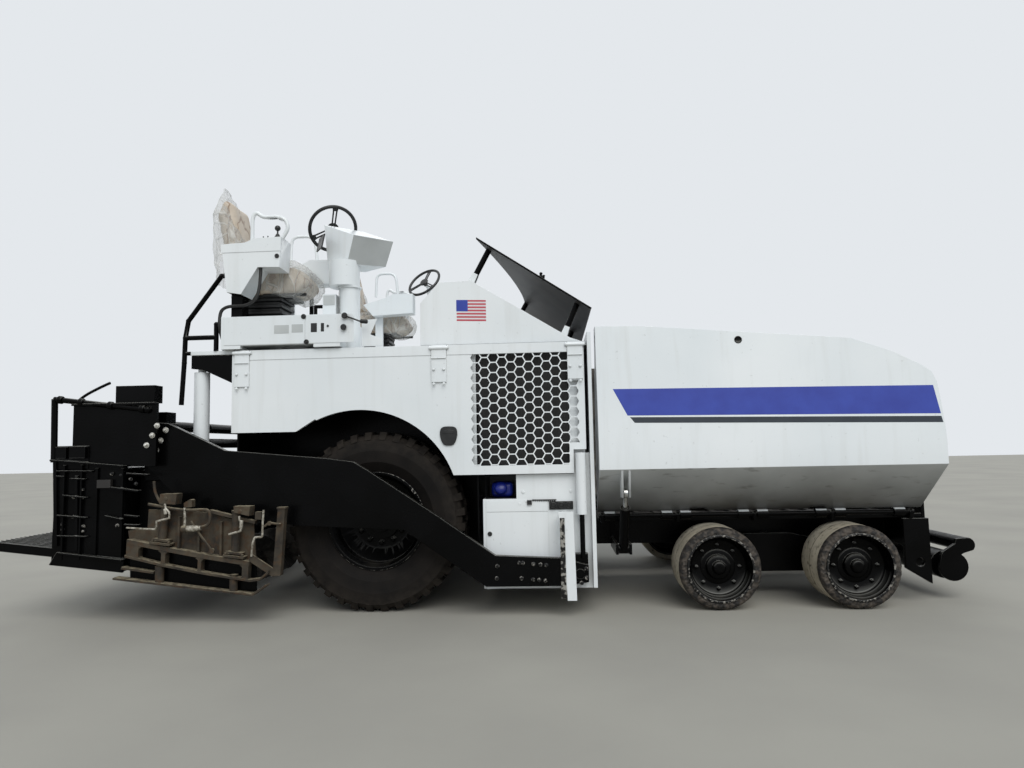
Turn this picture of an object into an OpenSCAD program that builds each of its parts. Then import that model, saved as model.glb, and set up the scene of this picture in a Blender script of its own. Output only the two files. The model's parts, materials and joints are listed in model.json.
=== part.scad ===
// Wheeled asphalt paver: a tractor with a folding hopper in front and a floating screed behind.
// Millimetres. +X is forward, +Y is the machine's left, +Z is up, and the floor is at Z = 0.
// Lengthwise places are given as distances ahead of the drive axle, and st() turns them into X.
// A module that takes a side is written for the left, and on_side() mirrors it for the right.

/* [Layout] */
// How far the drive axle lies behind the middle of the machine
axle_back = 820; // [780:5:860]
// Distance from the drive axle to the middle of the front bogie
bogie_x = 3000; // [2900:10:3100]
// Distance between the two wheels of a bogie
bogie_pitch = 980; // [900:10:1060]
// Half the width over the side doors
body_half_w = 1420; // [1400:5:1440]
// Height of the top of the deck
deck_z = 1965; // [1940:5:1990]
// Thickness of the deck plate
deck_t = 30; // [20:2:40]

/* [Drive wheels] */
// Diameter over the lugs of a drive tyre
drive_d = 1330; // [1280:5:1350]
// Width of a drive tyre
drive_w = 445; // [420:5:470]
// How far the outer side of a drive tyre lies inside the doors
drive_inset = 90; // [75:5:110]
// Diameter of the rim's flange
rim_d = 700; // [640:10:760]
// Radius of the axle's spindle
spindle_r = 90; // [70:5:110]
// Running clearance of a shaft or pin in its bore
run = 0.05; // [0.02:0.01:0.08]

/* [Front wheels] */
// Diameter of a front wheel
front_d = 590; // [560:5:620]
// Width of a front wheel's tread
front_w = 380; // [340:5:400]
// How far the outer side of a front wheel lies inside the doors
front_inset = 70; // [50:5:100]
// Diameter of the opening in a front wheel's tyre
front_rim_d = 470; // [430:5:490]
// Distance from the inner side of a front wheel to its kingpin
kingpin_inset = 70; // [64:2:76]
// Radius of a kingpin
kingpin_r = 24; // [18:1:30]
// Radius of a front wheel's spindle
stub_r = 36; // [28:1:44]

/* [Frame] */
// How far the outer face of a frame side plate lies inside the doors
frame_inset = 720; // [710:5:740]
// Thickness of a frame side plate
frame_t = 30; // [20:2:40]
// Height of the bottom of the frame
frame_z0 = 400; // [370:5:430]
// Height of the hopper floor
hopper_floor_z = 640; // [620:5:650]
// Height of the roof of the conveyor tunnel
tunnel_z = 1020; // [980:10:1060]
// How far the frame's rear end lies behind the drive axle
frame_rear = 800; // [780:5:840]
// Distance from the drive axle to the front face of the front plates
frame_front = 4100; // [4050:5:4120]
// Radius of the tie-down hole in a front plate
tie_r = 32; // [24:2:40]

/* [Hopper] */
// How far a wing's hinge lies inside the doors
hinge_inset = 320; // [310:5:340]
// Height of a wing's hinge
wing_hinge_z = 660; // [650:5:670]
// Thickness of the wing plate
wing_t = 14; // [10:1:20]
// Distance from the drive axle to a wing's rear edge
wing_rear = 1655; // [1645:5:1670]
// Distance from the drive axle to a wing's front edge
wing_front = 4055; // [4000:5:4080]
// How far the outermost fold of a wing stands out past the doors
wing_reach = 100; // [70:5:110]
// Height of the lower fold of a wing
wing_fold_z = 1020; // [990:5:1040]
// Height of the upper fold of a wing
wing_waist_z = 1175; // [1150:5:1200]
// Height of a wing's top at the rear
wing_top_z = 2060; // [2000:5:2080]
// How much lower a wing's top is at the front
wing_top_drop = 235; // [150:5:280]
// Radius of the hinge rod
wing_rod_r = 18; // [14:1:24]

/* [Screed] */
// Distance from the drive axle to the tow point
tow_x = 1500; // [1480:5:1520]
// Height of the tow point
tow_z = 300; // [285:5:310]
// How far the raised screed is turned up about the tow point
screed_tilt = 6.3; // [5.8:0.1:6.8]
// How far the outer face of a tow arm stands out past the doors
arm_reach = 80; // [76:2:90]
// Thickness of a tow arm
arm_t = 50; // [30:2:56]
// Gap between the end of the main screed and a tow arm
screed_side_gap = 25; // [15:5:40]
// How far behind the drive axle the main screed starts
screed_front = 1360; // [1350:5:1380]
// How far behind the drive axle the main screed ends
screed_back = 1740; // [1720:5:1750]
// How far the outer face of an extension stands out past the tow arms
ext_reach = 80; // [70:5:90]
// How far behind the drive axle an extension starts
ext_front = 1765; // [1760:5:1780]
// How far behind the drive axle an extension ends
ext_back = 2290; // [2250:5:2310]
// How far behind the drive axle the walkway ends
walk_back = 2780; // [2740:5:2800]
// Radius of an extension's guide tubes
guide_r = 45; // [36:1:52]

/* [Operator stations] */
// How far the left station is set forward of the right one
left_station_shift = 400; // [300:10:450]
// How far the outer face of a station stands out past the doors
station_reach = 30; // [10:5:40]
// Width of a station's base
station_w = 700; // [600:10:760]
// Height of a station's base
station_h = 245; // [220:5:260]
// Radius of the steering wheel
wheel_r = 185; // [170:5:200]

/* [Hidden] */
$fn = 64;

left = 1;
right = -1;
seat_gap = 0.3;

axle_x = -axle_back;
axle_z = drive_d / 2;
front_axle_z = front_d / 2;
deck_under = deck_z - deck_t;
drive_out = body_half_w - drive_inset;
front_out = body_half_w - front_inset;
kingpin_y = front_out - front_w - kingpin_inset;
frame_y = body_half_w - frame_inset;
wing_hinge_y = body_half_w - hinge_inset;
front_plate_y = wing_hinge_y;
wing_out = body_half_w + wing_reach;
arm_out = body_half_w + arm_reach;
screed_half_w = arm_out - arm_t - screed_side_gap;
ext_out = arm_out + ext_reach;
station_out = body_half_w + station_reach;
front_face = frame_front - 20;
drive_in = drive_out - drive_w;
front_mid_y = front_out - front_w / 2;
bogie_stations = [bogie_x - bogie_pitch / 2, bogie_x + bogie_pitch / 2];

white = [0.93, 0.94, 0.94];
black = [0.07, 0.07, 0.08];
grey = [0.35, 0.35, 0.36];
rusty = [0.34, 0.30, 0.27];
rubber = [0.16, 0.15, 0.14];
dusty = [0.42, 0.38, 0.33];
chrome = [0.8, 0.8, 0.82];
blue = [0.1, 0.2, 0.55];
beige = [0.78, 0.74, 0.66];

// X of a place that lies s ahead of the drive axle
function st(s) = axle_x + s;
// Unit vector in the XZ plane, a degrees up from +X
function dir(a) = [cos(a), sin(a)];

// Draws a left-hand shape on the asked side
module on_side(side) {
    mirror([0, side == left ? 0 : 1, 0]) children();
}

// A block from one corner to the other
module block(from, to) {
    translate(from) cube(to - from);
}

// A block with eight free corners, each ring counter-clockwise from above
module eight_corners(low, high) {
    polyhedron(
        points = concat(low, high),
        faces = concat(
            [[0, 1, 2], [0, 2, 3], [6, 5, 4], [7, 6, 4]],
            [for (i = [0:3]) let (j = (i + 1) % 4) each [[i, i + 4, j + 4], [i, j + 4, j]]]));
}

// A flat shape drawn in X and Z, from y0 to y1
module plate_xz(y0, y1) {
    translate([0, y1, 0]) rotate([90, 0, 0]) linear_extrude(y1 - y0) children();
}

// A flat shape drawn in Y and Z, from x0 to x1
module plate_yz(x0, x1) {
    translate([x0, 0, 0]) rotate([90, 0, 90]) linear_extrude(x1 - x0) children();
}

// A round bar along X, Y or Z
module bar_x(p, r, l) {
    translate(p) rotate([0, 90, 0]) cylinder(r = r, h = l);
}
module bar_y(p, r, l) {
    translate(p) rotate([-90, 0, 0]) cylinder(r = r, h = l);
}
module bar_z(p, r, l) {
    translate(p) cylinder(r = r, h = l);
}

// A round bar from a to b
module rod(a, b, r) {
    d = b - a;
    translate(a)
        rotate([0, acos(d.z / norm(d)), atan2(d.y, d.x)])
            cylinder(r = r, h = norm(d));
}

// Tubes through a list of points, with a ball at each bend
module rail(points, r, ball = 1.08) {
    for (i = [0:len(points) - 2]) rod(points[i], points[i + 1], r);
    if (len(points) > 2)
        for (i = [1:len(points) - 2]) translate(points[i]) sphere(r = ball * r);
}

// Drive wheels

lug_h = 22;
lug_count = 36;
lug_turn = 4.6;

module drive_tyre(side) {
    half = drive_w / 2;
    tread_r = drive_d / 2;
    base_r = tread_r - lug_h;
    color(rubber)
        on_side(side)
            translate([axle_x, drive_out - half, axle_z])
                rotate([-90, 0, 0]) {
                    rotate_extrude($fn = 96)
                        polygon([
                            [rim_d / 2, -half + 70], [rim_d / 2 + 90, -half + 8],
                            [tread_r - 140, -half], [tread_r - 60, -half + 12],
                            [base_r, -half + 60], [base_r, half - 60],
                            [tread_r - 60, half - 12], [tread_r - 140, half],
                            [rim_d / 2 + 90, half - 8], [rim_d / 2, half - 70]
                        ]);
                    // Lugs on both halves of the tread, half a pitch apart
                    for (i = [0:lug_count - 1], hand = [-1, 1])
                        rotate([0, 0, (i + hand / 4) * 360 / lug_count])
                            rotate_extrude(angle = lug_turn, $fn = 96)
                                polygon([
                                    [base_r - 14, hand * 6], [tread_r, hand * 6],
                                    [tread_r, hand * (half - 56)], [tread_r - 60, hand * (half - 6)],
                                    [tread_r - 74, hand * (half - 40)]
                                ]);
                }
}

hub_depth = 190;
hub_in = drive_in + 75;
rim_t = 34;
dish = -drive_w / 2 + 195;

module drive_rim(side) {
    half = drive_w / 2;
    in_r = rim_d / 2 - rim_t;
    hub_r = spindle_r + 60;
    color(black)
        on_side(side)
            difference() {
                union() {
                    // Barrel with the bright lip that holds the bead, and the dished disc
                    translate([axle_x, drive_out - half, axle_z])
                        rotate([-90, 0, 0])
                            rotate_extrude($fn = 96) {
                                polygon([
                                    [in_r, -half + 70], [rim_d / 2, -half + 70],
                                    [rim_d / 2, half - 70], [rim_d / 2 + 14, half - 55],
                                    [rim_d / 2 + 14, half - 46], [rim_d / 2 - 8, half - 46],
                                    [in_r, half - 78]
                                ]);
                                polygon([
                                    [hub_r - 20, dish], [hub_r + 70, dish], [in_r + 4, dish + 60],
                                    [in_r + 4, dish + 84], [hub_r + 62, dish + 24], [hub_r - 20, dish + 24]
                                ]);
                            }
                    bar_y([axle_x, hub_in, axle_z], hub_r, hub_depth);
                    bar_y([axle_x, hub_in + hub_depth - 1, axle_z], hub_r - 55, 31);
                }
                bar_y([axle_x, hub_in - 1, axle_z], spindle_r + run, hub_depth - 39);
            }
}

module drive_axle() {
    color(black)
        for (side = [left, right])
            on_side(side) {
                bar_y([axle_x, frame_y, axle_z], 230, drive_in - frame_y + 60);
                bar_y([axle_x, frame_y, axle_z], spindle_r, hub_in + hub_depth - 45 - frame_y);
            }
}

// Front bogies

yoke_half = 105;
yoke_t = 30;
barrel_half = yoke_half - yoke_t - 2;
beam_out = 838;
beam_in = 748;

module bogie_beams() {
    color(black) {
        for (side = [left, right])
            on_side(side)
                difference() {
                    union() {
                        plate_xz(beam_in, beam_out)
                            polygon([
                                [st(bogie_stations[0] - 60), front_axle_z - yoke_half],
                                [st(bogie_stations[1] + 60), front_axle_z - yoke_half],
                                [st(bogie_stations[1] + 60), front_axle_z + yoke_half],
                                [st(bogie_x + 160), front_axle_z + 190],
                                [st(bogie_x - 160), front_axle_z + 190],
                                [st(bogie_stations[0] - 60), front_axle_z + yoke_half]
                            ]);
                        for (s = bogie_stations, z = [-yoke_half, yoke_half - yoke_t]) {
                            block([st(s - 46), beam_out - 1, front_axle_z + z],
                                  [st(s + 46), kingpin_y, front_axle_z + z + yoke_t]);
                            bar_z([st(s), kingpin_y, front_axle_z + z], 46, yoke_t);
                        }
                    }
                    for (s = bogie_stations) {
                        bar_z([st(s), kingpin_y, front_axle_z - yoke_half - 1],
                              kingpin_r + run, 2 * yoke_half + 2);
                        block([st(s - 61), kingpin_y - 62, front_axle_z - barrel_half - 2],
                              [st(s + 61), kingpin_y + 62, front_axle_z + barrel_half + 2]);
                    }
                }
        for (side = [left, right])
            on_side(side)
                bar_y([st(bogie_x), frame_y, front_axle_z + 130], 62, beam_in - frame_y + 1);
    }
}

// Kingpin barrel with the wheel's spindle
module knuckle(s, side) {
    color(black)
        on_side(side) {
            bar_z([st(s), kingpin_y, front_axle_z - barrel_half], 42, 2 * barrel_half);
            bar_z([st(s), kingpin_y, front_axle_z - yoke_half], kingpin_r, 2 * yoke_half);
            bar_y([st(s), kingpin_y, front_axle_z], stub_r, front_mid_y + 90 - kingpin_y);
        }
}

module front_wheel(s, side) {
    half = front_w / 2;
    r = front_d / 2;
    dish = 60;
    color(dusty)
        on_side(side)
            translate([st(s), front_mid_y, front_axle_z])
                rotate([-90, 0, 0])
                    rotate_extrude($fn = 96)
                        polygon([
                            [stub_r + run, -20], [70, -20], [70, 0], [front_rim_d / 2 - 30, 0],
                            [front_rim_d / 2 - 12, -half + 8], [front_rim_d / 2 + 6, -half],
                            [r - 24, -half], [r, -half + 22], [r, half - 22], [r - 24, half],
                            [front_rim_d / 2 + 6, half], [front_rim_d / 2 - 12, half - 8],
                            [front_rim_d / 2 - 30, half - dish], [120, half - dish],
                            [96, half - 20], [0, half - 20], [0, 92], [stub_r + run, 92]
                        ]);
}

// Frame, conveyors and engine

module main_frame() {
    tunnel_in = frame_y - frame_t;
    color(black) {
        for (side = [left, right])
            on_side(side) {
                plate_xz(frame_y - frame_t, frame_y)
                    polygon([
                        [st(-frame_rear), frame_z0], [st(front_face), frame_z0],
                        [st(front_face), hopper_floor_z - 30],
                        [st(wing_rear - 80), hopper_floor_z - 30],
                        [st(wing_rear - 80), tunnel_z + 60], [st(-frame_rear), tunnel_z + 60]
                    ]);
                // Front side plate that guards the steered wheels, with its tie-down hole
                difference() {
                    plate_xz(front_plate_y - 35, front_plate_y)
                        polygon([
                            [st(frame_front - 185), hopper_floor_z - 30],
                            [st(frame_front - 185), 245], [st(frame_front), 130],
                            [st(frame_front), hopper_floor_z - 30]
                        ]);
                    bar_y([st(frame_front - 80), front_plate_y - 36, 290], tie_r, 37);
                }
                block([st(frame_front - 150), frame_y - 1, frame_z0],
                      [st(front_face), front_plate_y - 34, hopper_floor_z - 30]);
            }
        // Cross members
        for (s = [-frame_rear, 1000, 2400, 3500])
            block([st(s), -tunnel_in - 1, frame_z0],
                  [st(s + 60), tunnel_in + 1, frame_z0 + 90]);
        block([st(frame_front - 80), -tunnel_in - 1, frame_z0],
              [st(front_face), tunnel_in + 1, hopper_floor_z - 30]);
        // Roof of the conveyor tunnel
        block([st(-frame_rear), -tunnel_in - 1, tunnel_z],
              [st(wing_rear - 80), tunnel_in + 1, tunnel_z + 30]);
    }
}

// Sills under the hopper, out to the wing hinges, with the feet of the wing cylinders
module hopper_sills() {
    color(black)
        for (side = [left, right])
            on_side(side) {
                block([st(wing_rear + 10), frame_y - frame_t, hopper_floor_z - 30],
                      [st(front_face), wing_hinge_y - 62, hopper_floor_z]);
                wing_hinge_rod();
                wing_cylinder_foot();
            }
}

ear_pitch = 570;
ear_first = 1690;
hinge_ears = [for (i = [0:4]) ear_first + i * ear_pitch];
ear_t = 25;

module wing_hinge_rod() {
    bar_x([st(hinge_ears[0] - ear_t), wing_hinge_y, wing_hinge_z],
          wing_rod_r, hinge_ears[4] - hinge_ears[0] + 2 * ear_t);
    for (s = hinge_ears) {
        plate_yz(st(s - ear_t / 2), st(s + ear_t / 2))
            polygon([
                [wing_hinge_y - 63, hopper_floor_z - 30], [wing_hinge_y + 18, hopper_floor_z - 30],
                [wing_hinge_y + 24, wing_hinge_z], [wing_hinge_y - 24, wing_hinge_z],
                [wing_hinge_y - 63, hopper_floor_z]
            ]);
        bar_x([st(s - ear_t / 2), wing_hinge_y, wing_hinge_z], 24, ear_t);
    }
}

// Wing cylinders stand just in front of the tractor
cyl_x = 1840;
wing_foot = [wing_hinge_y + 50, 420];
wing_pin = [wing_out - 80, 850];
foot_pin_r = 16;

module wing_cylinder_foot() {
    for (dx = [-60, 40])
        block([st(cyl_x + dx), frame_y + seat_gap, wing_foot[1] - 40],
              [st(cyl_x + dx + 20), wing_foot[0] + 35, wing_foot[1] + 40]);
    block([st(cyl_x - 60), frame_y + seat_gap, wing_foot[1] + 39],
          [st(cyl_x + 60), frame_y + 20, hopper_floor_z - 29]);
    bar_x([st(cyl_x - 60), wing_foot[0], wing_foot[1]], foot_pin_r, 120);
}

auger_s = -1040;
auger_z = 370;
auger_r = 190;
auger_shaft_r = 32;
case_half = 85;

module auger_case() {
    color(black) {
        plate_xz(-case_half, case_half)
            polygon([
                [st(auger_s - 110), auger_z - 110], [st(auger_s + 110), auger_z - 110],
                [st(-frame_rear - seat_gap), frame_z0 + 20],
                [st(-frame_rear - seat_gap), tunnel_z], [st(-frame_rear - 60), tunnel_z],
                [st(auger_s - 110), auger_z + 110]
            ]);
        bar_y([st(auger_s), -260, auger_z], auger_shaft_r, 520);
    }
}

flight_l = 1180;
flight_turns = 3;
flight_steps = 18;
flight_t = 16;

// The four corners of a screw flight's section after i steps
function flight_ring(root_r, i) =
    let (a = 360 * i / flight_steps,
         y = (flight_l - flight_t) * i / (flight_turns * flight_steps))
    [for (p = [[root_r, 0], [auger_r, 0], [auger_r, flight_t], [root_r, flight_t]])
     [p[0] * cos(a), y + p[1], p[0] * sin(a)]];

// Screw flight along +Y from the origin
module flight(root_r) {
    n = flight_turns * flight_steps;
    polyhedron(
        points = [for (i = [0:n]) each flight_ring(root_r, i)],
        faces = concat(
            [[0, 1, 2], [0, 2, 3], [4 * n, 4 * n + 2, 4 * n + 1], [4 * n, 4 * n + 3, 4 * n + 2]],
            [for (i = [0:n - 1], k = [0:3])
                let (a = 4 * i + k, b = 4 * i + (k + 1) % 4)
                each k < 2 ? [[a, b + 4, b], [a, a + 4, b + 4]]
                           : [[a, a + 4, b], [b, a + 4, b + 4]]]));
}

module auger(side) {
    color(grey)
        on_side(side)
            difference() {
                union() {
                    bar_y([st(auger_s), case_half + 7, auger_z], 60, 1300);
                    translate([st(auger_s), 150, auger_z]) flight(50);
                }
                bar_y([st(auger_s), 80, auger_z], auger_shaft_r + run, 190);
            }
}

slat_pitch = 180;

module conveyors() {
    color(grey)
        for (side = [left, right])
            on_side(side) {
                block([st(-frame_rear - 20), case_half + 10, frame_z0 + 90],
                      [st(front_face - 60 - seat_gap), frame_y - frame_t - seat_gap,
                       frame_z0 + 130]);
                // Slats that drag the mix to the rear
                for (s = [-frame_rear + 20:slat_pitch:front_face - 140])
                    block([st(s), case_half + 20, frame_z0 + 129],
                          [st(s + 45), frame_y - frame_t - 10, frame_z0 + 150]);
            }
}

module engine_block() {
    color(grey)
        block([st(-100), -450, tunnel_z + 30], [st(1150), 450, deck_under - 80]);
}

// Push beam with its rollers

roller_s = 4290;
roller_z = 240;
roller_r = 105;
roller_l = front_plate_y - 300;
nose = [4400, 400];
nose_r = 55;

module push_beam() {
    y_out = front_plate_y - 60;
    color(black) {
        block([st(front_face + seat_gap), -y_out, 420], [st(roller_s - 60), y_out, 560]);
        // Arms with a rounded nose, which carry the rollers
        for (y = [-y_out, -20, y_out - 40])
            plate_xz(y, y + 40) {
                polygon([
                    [st(front_face + seat_gap), 330], [st(roller_s - 20), roller_z - 45],
                    [st(roller_s + 45), roller_z - 45], [st(nose[0] + nose_r - 8), nose[1] - 27],
                    [st(nose[0]), nose[1] + nose_r], [st(roller_s - 60), 540],
                    [st(front_face + seat_gap), 540]
                ]);
                translate([st(nose[0]), nose[1]]) circle(r = nose_r);
            }
        block([st(roller_s - 60), -y_out, 420], [st(roller_s + 60), y_out, 480]);
        bar_y([st(roller_s), -y_out, roller_z], 28, 2 * y_out);
    }
}

module push_roller(side) {
    color(black)
        on_side(side)
            difference() {
                bar_y([st(roller_s), 110, roller_z], roller_r, roller_l);
                bar_y([st(roller_s), 109, roller_z], 28 + run, roller_l + 2);
            }
}

// Tractor body

shell_t = 12;
house_z = 1540;
house_front = 780;
bulkhead_s = 1595;
bulkhead_t = 28;
rear_s = -1040;
step_zs = [1420, 1700];
step_out = 230;
step_half = 360;

module body_shell() {
    color(white) {
        // Front bulkhead, which is also the hopper's rear wall
        difference() {
            block([st(bulkhead_s), -body_half_w - 20, 190],
                  [st(bulkhead_s + bulkhead_t), body_half_w + 20, deck_z + 60]);
            block([st(bulkhead_s - 1), -frame_y - 0.3, 0],
                  [st(bulkhead_s + bulkhead_t + 1), frame_y + 0.3, tunnel_z + 61]);
        }
        // Rear wall
        block([st(rear_s), -body_half_w + 60, tunnel_z + 60],
              [st(rear_s + shell_t), body_half_w - 60, deck_under]);
        for (side = [left, right])
            on_side(side) {
                // Inner side wall above the frame
                block([st(rear_s), frame_y, tunnel_z + 60],
                      [st(bulkhead_s + 1), frame_y + shell_t, deck_under]);
                // Wheel housing: its top and its front wall
                block([st(rear_s), frame_y, house_z],
                      [st(house_front), body_half_w - 60, house_z + shell_t]);
                block([st(house_front - shell_t), frame_y, frame_z0],
                      [st(house_front), body_half_w - 60, house_z + 1]);
                // Rear post that carries the lift cylinder
                rear_post();
            }
        // Steps up the rear wall, between the two stations
        for (z = step_zs)
            block([st(rear_s - step_out), -step_half, z], [st(rear_s + 1), step_half, z + 30]);
        for (y = [-step_half, step_half - 15])
            block([st(rear_s - step_out), y, step_zs[0]],
                  [st(rear_s + 1), y + 15, step_zs[1] + 30]);
    }
}

lift_top = [-1345, 1885];
lift_y = body_half_w - 120;
lift_pin_r = 20;
post_half = 75;
post_t = 25;

module rear_post() {
    for (y = [lift_y - post_half, lift_y + post_half - post_t])
        plate_xz(y, y + post_t)
            polygon([
                [st(rear_s + 2), 1700], [st(rear_s + 2), deck_under],
                [st(lift_top[0] - 50), deck_under],
                [st(lift_top[0] - 50), lift_top[1] - 50], [st(lift_top[0] + 40), lift_top[1] - 60]
            ]);
    bar_y([st(lift_top[0]), lift_y - post_half, lift_top[1]], lift_pin_r, 2 * post_half);
}

module deck() {
    color(white) {
        block([st(rear_s - 20), -body_half_w + 48, deck_under],
              [st(bulkhead_s), body_half_w - 48, deck_z]);
        for (side = [left, right])
            on_side(side) {
                // Rear shelf over the lift cylinder
                block([st(lift_top[0] - 50), lift_y - 120, deck_under],
                      [st(rear_s - 19), lift_y + 90, deck_z]);
                for (s = door_hinges) door_hinge_bracket(s);
            }
    }
}

// Side doors, hinged along their top edge

door_t = 36;
door_hinges = [-980, 504, 1506];
hinge_y = body_half_w + 2;
hinge_z = deck_under + 8;
strap_w = 110;
hinge_pin_r = 7;

module door_hinge_bracket(s) {
    for (e = [-strap_w / 2 - 17, strap_w / 2 + 5]) {
        block([st(s + e), body_half_w - 49, hinge_z], [st(s + e + 12), hinge_y, hinge_z + 12]);
        bar_x([st(s + e), hinge_y, hinge_z], 12, 12);
    }
    bar_x([st(s - strap_w / 2 - 10), hinge_y, hinge_z], hinge_pin_r, strap_w + 20);
}

arch_s = -100;
arch_z = 745;
arch_r = 747;
door_rear = -1058;
door_front = 1570;
door_low = 1000;
door_step = 1340;
door_top = hinge_z - 20;
notch_s = 1478;
notch_z = 1170;
// Grille: its rear and front ends, how far forward it runs low down, its bottom and its top
grille_s = [736, 1525];
grille_top_s = 1450;
grille_z = [1063, 1885];
cell_h = 67;
cell_web = 8;

// Centres of the honeycomb's cells, which stop short of the hinge strap and the notch
function cell_rows(i) = [for (j = [0:20])
    let (z = grille_z[0] + cell_h / 2 + (j + (i % 2) / 2) * (cell_h + cell_web))
    if (z + cell_h / 2 < grille_z[1]) z];
function cells() = [for (i = [0:20])
    let (r = cell_h / sqrt(3), s = grille_s[0] + r + i * (cell_h + cell_web) * sqrt(3) / 2)
    for (z = cell_rows(i))
        if (s + r < grille_top_s || (s + r < grille_s[1] && z > notch_z + 50 && z < hinge_z - 300))
            [s, z]];

module door_outline() {
    difference() {
        polygon([
            [st(door_rear), door_step], [st(-570), door_step], [st(-425), door_step + 90],
            [st(0), door_low], [st(notch_s), door_low], [st(notch_s), notch_z],
            [st(door_front), notch_z], [st(door_front), door_top], [st(door_rear), door_top]
        ]);
        translate([st(arch_s), arch_z]) circle(r = arch_r);
        for (c = cells()) translate([st(c[0]), c[1]]) circle(r = cell_h / sqrt(3), $fn = 6);
    }
}

module side_door(side) {
    color(white)
        on_side(side)
            difference() {
                union() {
                    plate_xz(body_half_w - door_t, body_half_w) door_outline();
                    for (s = door_hinges) {
                        block([st(s - strap_w / 2), body_half_w - 1, hinge_z - 260],
                              [st(s + strap_w / 2), body_half_w + 12, hinge_z]);
                        bar_x([st(s - strap_w / 2), hinge_y, hinge_z], 15, strap_w);
                    }
                }
                for (s = door_hinges)
                    bar_x([st(s - strap_w / 2 - 1), hinge_y, hinge_z], hinge_pin_r + run, strap_w + 2);
            }
}

// Cabinet under each door, with the tow point's guide

tow_pin_r = 34;
cab_rear = 810;
cab_front = 1475;
cab_y = body_half_w - 40;
cab_floor = 180;
box_top = 820;
cab_top = 995;

strip_y = arm_out + 6;
lamp_ss = [1320, 1378, 1436];

module side_cabinet(side) {
    color(white)
        on_side(side) {
            // Locker
            block([st(cab_rear), frame_y + 100, cab_floor], [st(cab_front), cab_y, box_top]);
            // Shelf, back and top of the open bay above it
            block([st(house_front), frame_y + 13, cab_floor + 60],
                  [st(bulkhead_s), frame_y + 101, cab_top]);
            block([st(cab_front - 420), frame_y + 100, box_top - 1],
                  [st(cab_front), cab_y, cab_top]);
            // Guide post for the tow point
            block([st(cab_front - 1), cab_y - 300, cab_floor], [st(bulkhead_s), cab_y, cab_top + 150]);
            for (s = lamp_ss) bar_y([st(s), cab_y - 1, 768], 24, 13);
            guide_strip();
        }
}

// Slotted strip that keeps the tow arm against its guide, on a bracket above and one below
module guide_strip() {
    plate_xz(strip_y, strip_y + 12)
        difference() {
            polygon([[st(1354), 730], [st(1460), 730], [st(1471), 120], [st(1408), 120]]);
            for (z = [200:105:620]) translate([st(1446 - z / 25), z]) square([26, 60], center = true);
        }
    block([st(1370), cab_y - 1, 690], [st(1450), strip_y + 1, 722]);
    block([st(1416), cab_y - 60, 140], [st(1464), strip_y + 1, cab_floor + 1]);
}

module fluid_tank() {
    color(blue)
        on_side(right)
            block([st(850), frame_y + 102, box_top + seat_gap], [st(1050), cab_y - 60, 985]);
}

module levelling_cylinders() {
    cyl_s = 1525;
    face = cab_y + seat_gap;
    color(white)
        for (side = [left, right])
            on_side(side) {
                bar_z([st(cyl_s), arm_out - 60, 706], 36, 440);
                bar_z([st(cyl_s), arm_out - 60, tow_z + 100], 18, 310);
                block([st(cyl_s - 28), face, 1060], [st(cyl_s + 38), arm_out - 60, 1140]);
                // Tow-point block with the pin that carries the arm
                block([st(tow_x - 60), face, tow_z - 70], [st(tow_x + 60), arm_out - arm_t - 5, tow_z + 130]);
                bar_y([st(tow_x), face, tow_z], tow_pin_r, arm_out + 3 - face);
            }
}

// Hood over the front of the deck and the deflector above it

cowl_rear = 360;
cowl_top = [744, deck_z + 482];
cowl_low = [1474, deck_z + 30];

module cowl() {
    half = body_half_w - 43;
    color(white) {
        plate_xz(-half, half)
            polygon([
                [st(cowl_rear), deck_z], [st(cowl_rear), deck_z + 321], [st(504), deck_z + 475],
                [st(cowl_top[0]), cowl_top[1]], [st(cowl_low[0]), cowl_low[1]], [st(1560), deck_z]
            ]);
        for (row = post_rows, y = row[3]) post_bracket(row, y);
    }
}

// Two lugs on the hood, one on each side of a post's foot
module post_bracket(row, y) {
    foot = [row[0], hood_z(row[0])];
    head = [row[1], plate_z(row[1])];
    d = (head - foot) / norm(head - foot);
    for (e = [-36, 25])
        plate_xz(y + e, y + e + 11)
            polygon([for (p = [[-16, -26], [70, -20], [70, 20], [-16, 26]])
                     [st(foot.x + p[0] * d.x + p[1] * d.y), foot.y + p[0] * d.y - p[1] * d.x]]);
}

plate_a = [779, deck_z + 810];
plate_b = [1640, deck_z + 240];
post_y = body_half_w - 120;
// Rows of posts: place of the foot and of the head, how far the foot starts off the hood, and
// the places across the hood
post_rows = [[744, 880, 13, [-post_y, post_y]], [984, 1120, 1.6, [0]],
             [1432, 1538, 3.6, [-post_y, 0, post_y]]];
// How far forward the middle of the deflector's curved rear edge lies
curve_mid = 1100;

// Height of the hood's slope and of the deflector's face at a place
function on_line(s, a, b) = a[1] + (s - a[0]) * (b[1] - a[1]) / (b[0] - a[0]);
function hood_z(s) = on_line(s, cowl_top, cowl_low);
function plate_z(s) = on_line(s, plate_a, plate_b);

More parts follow.
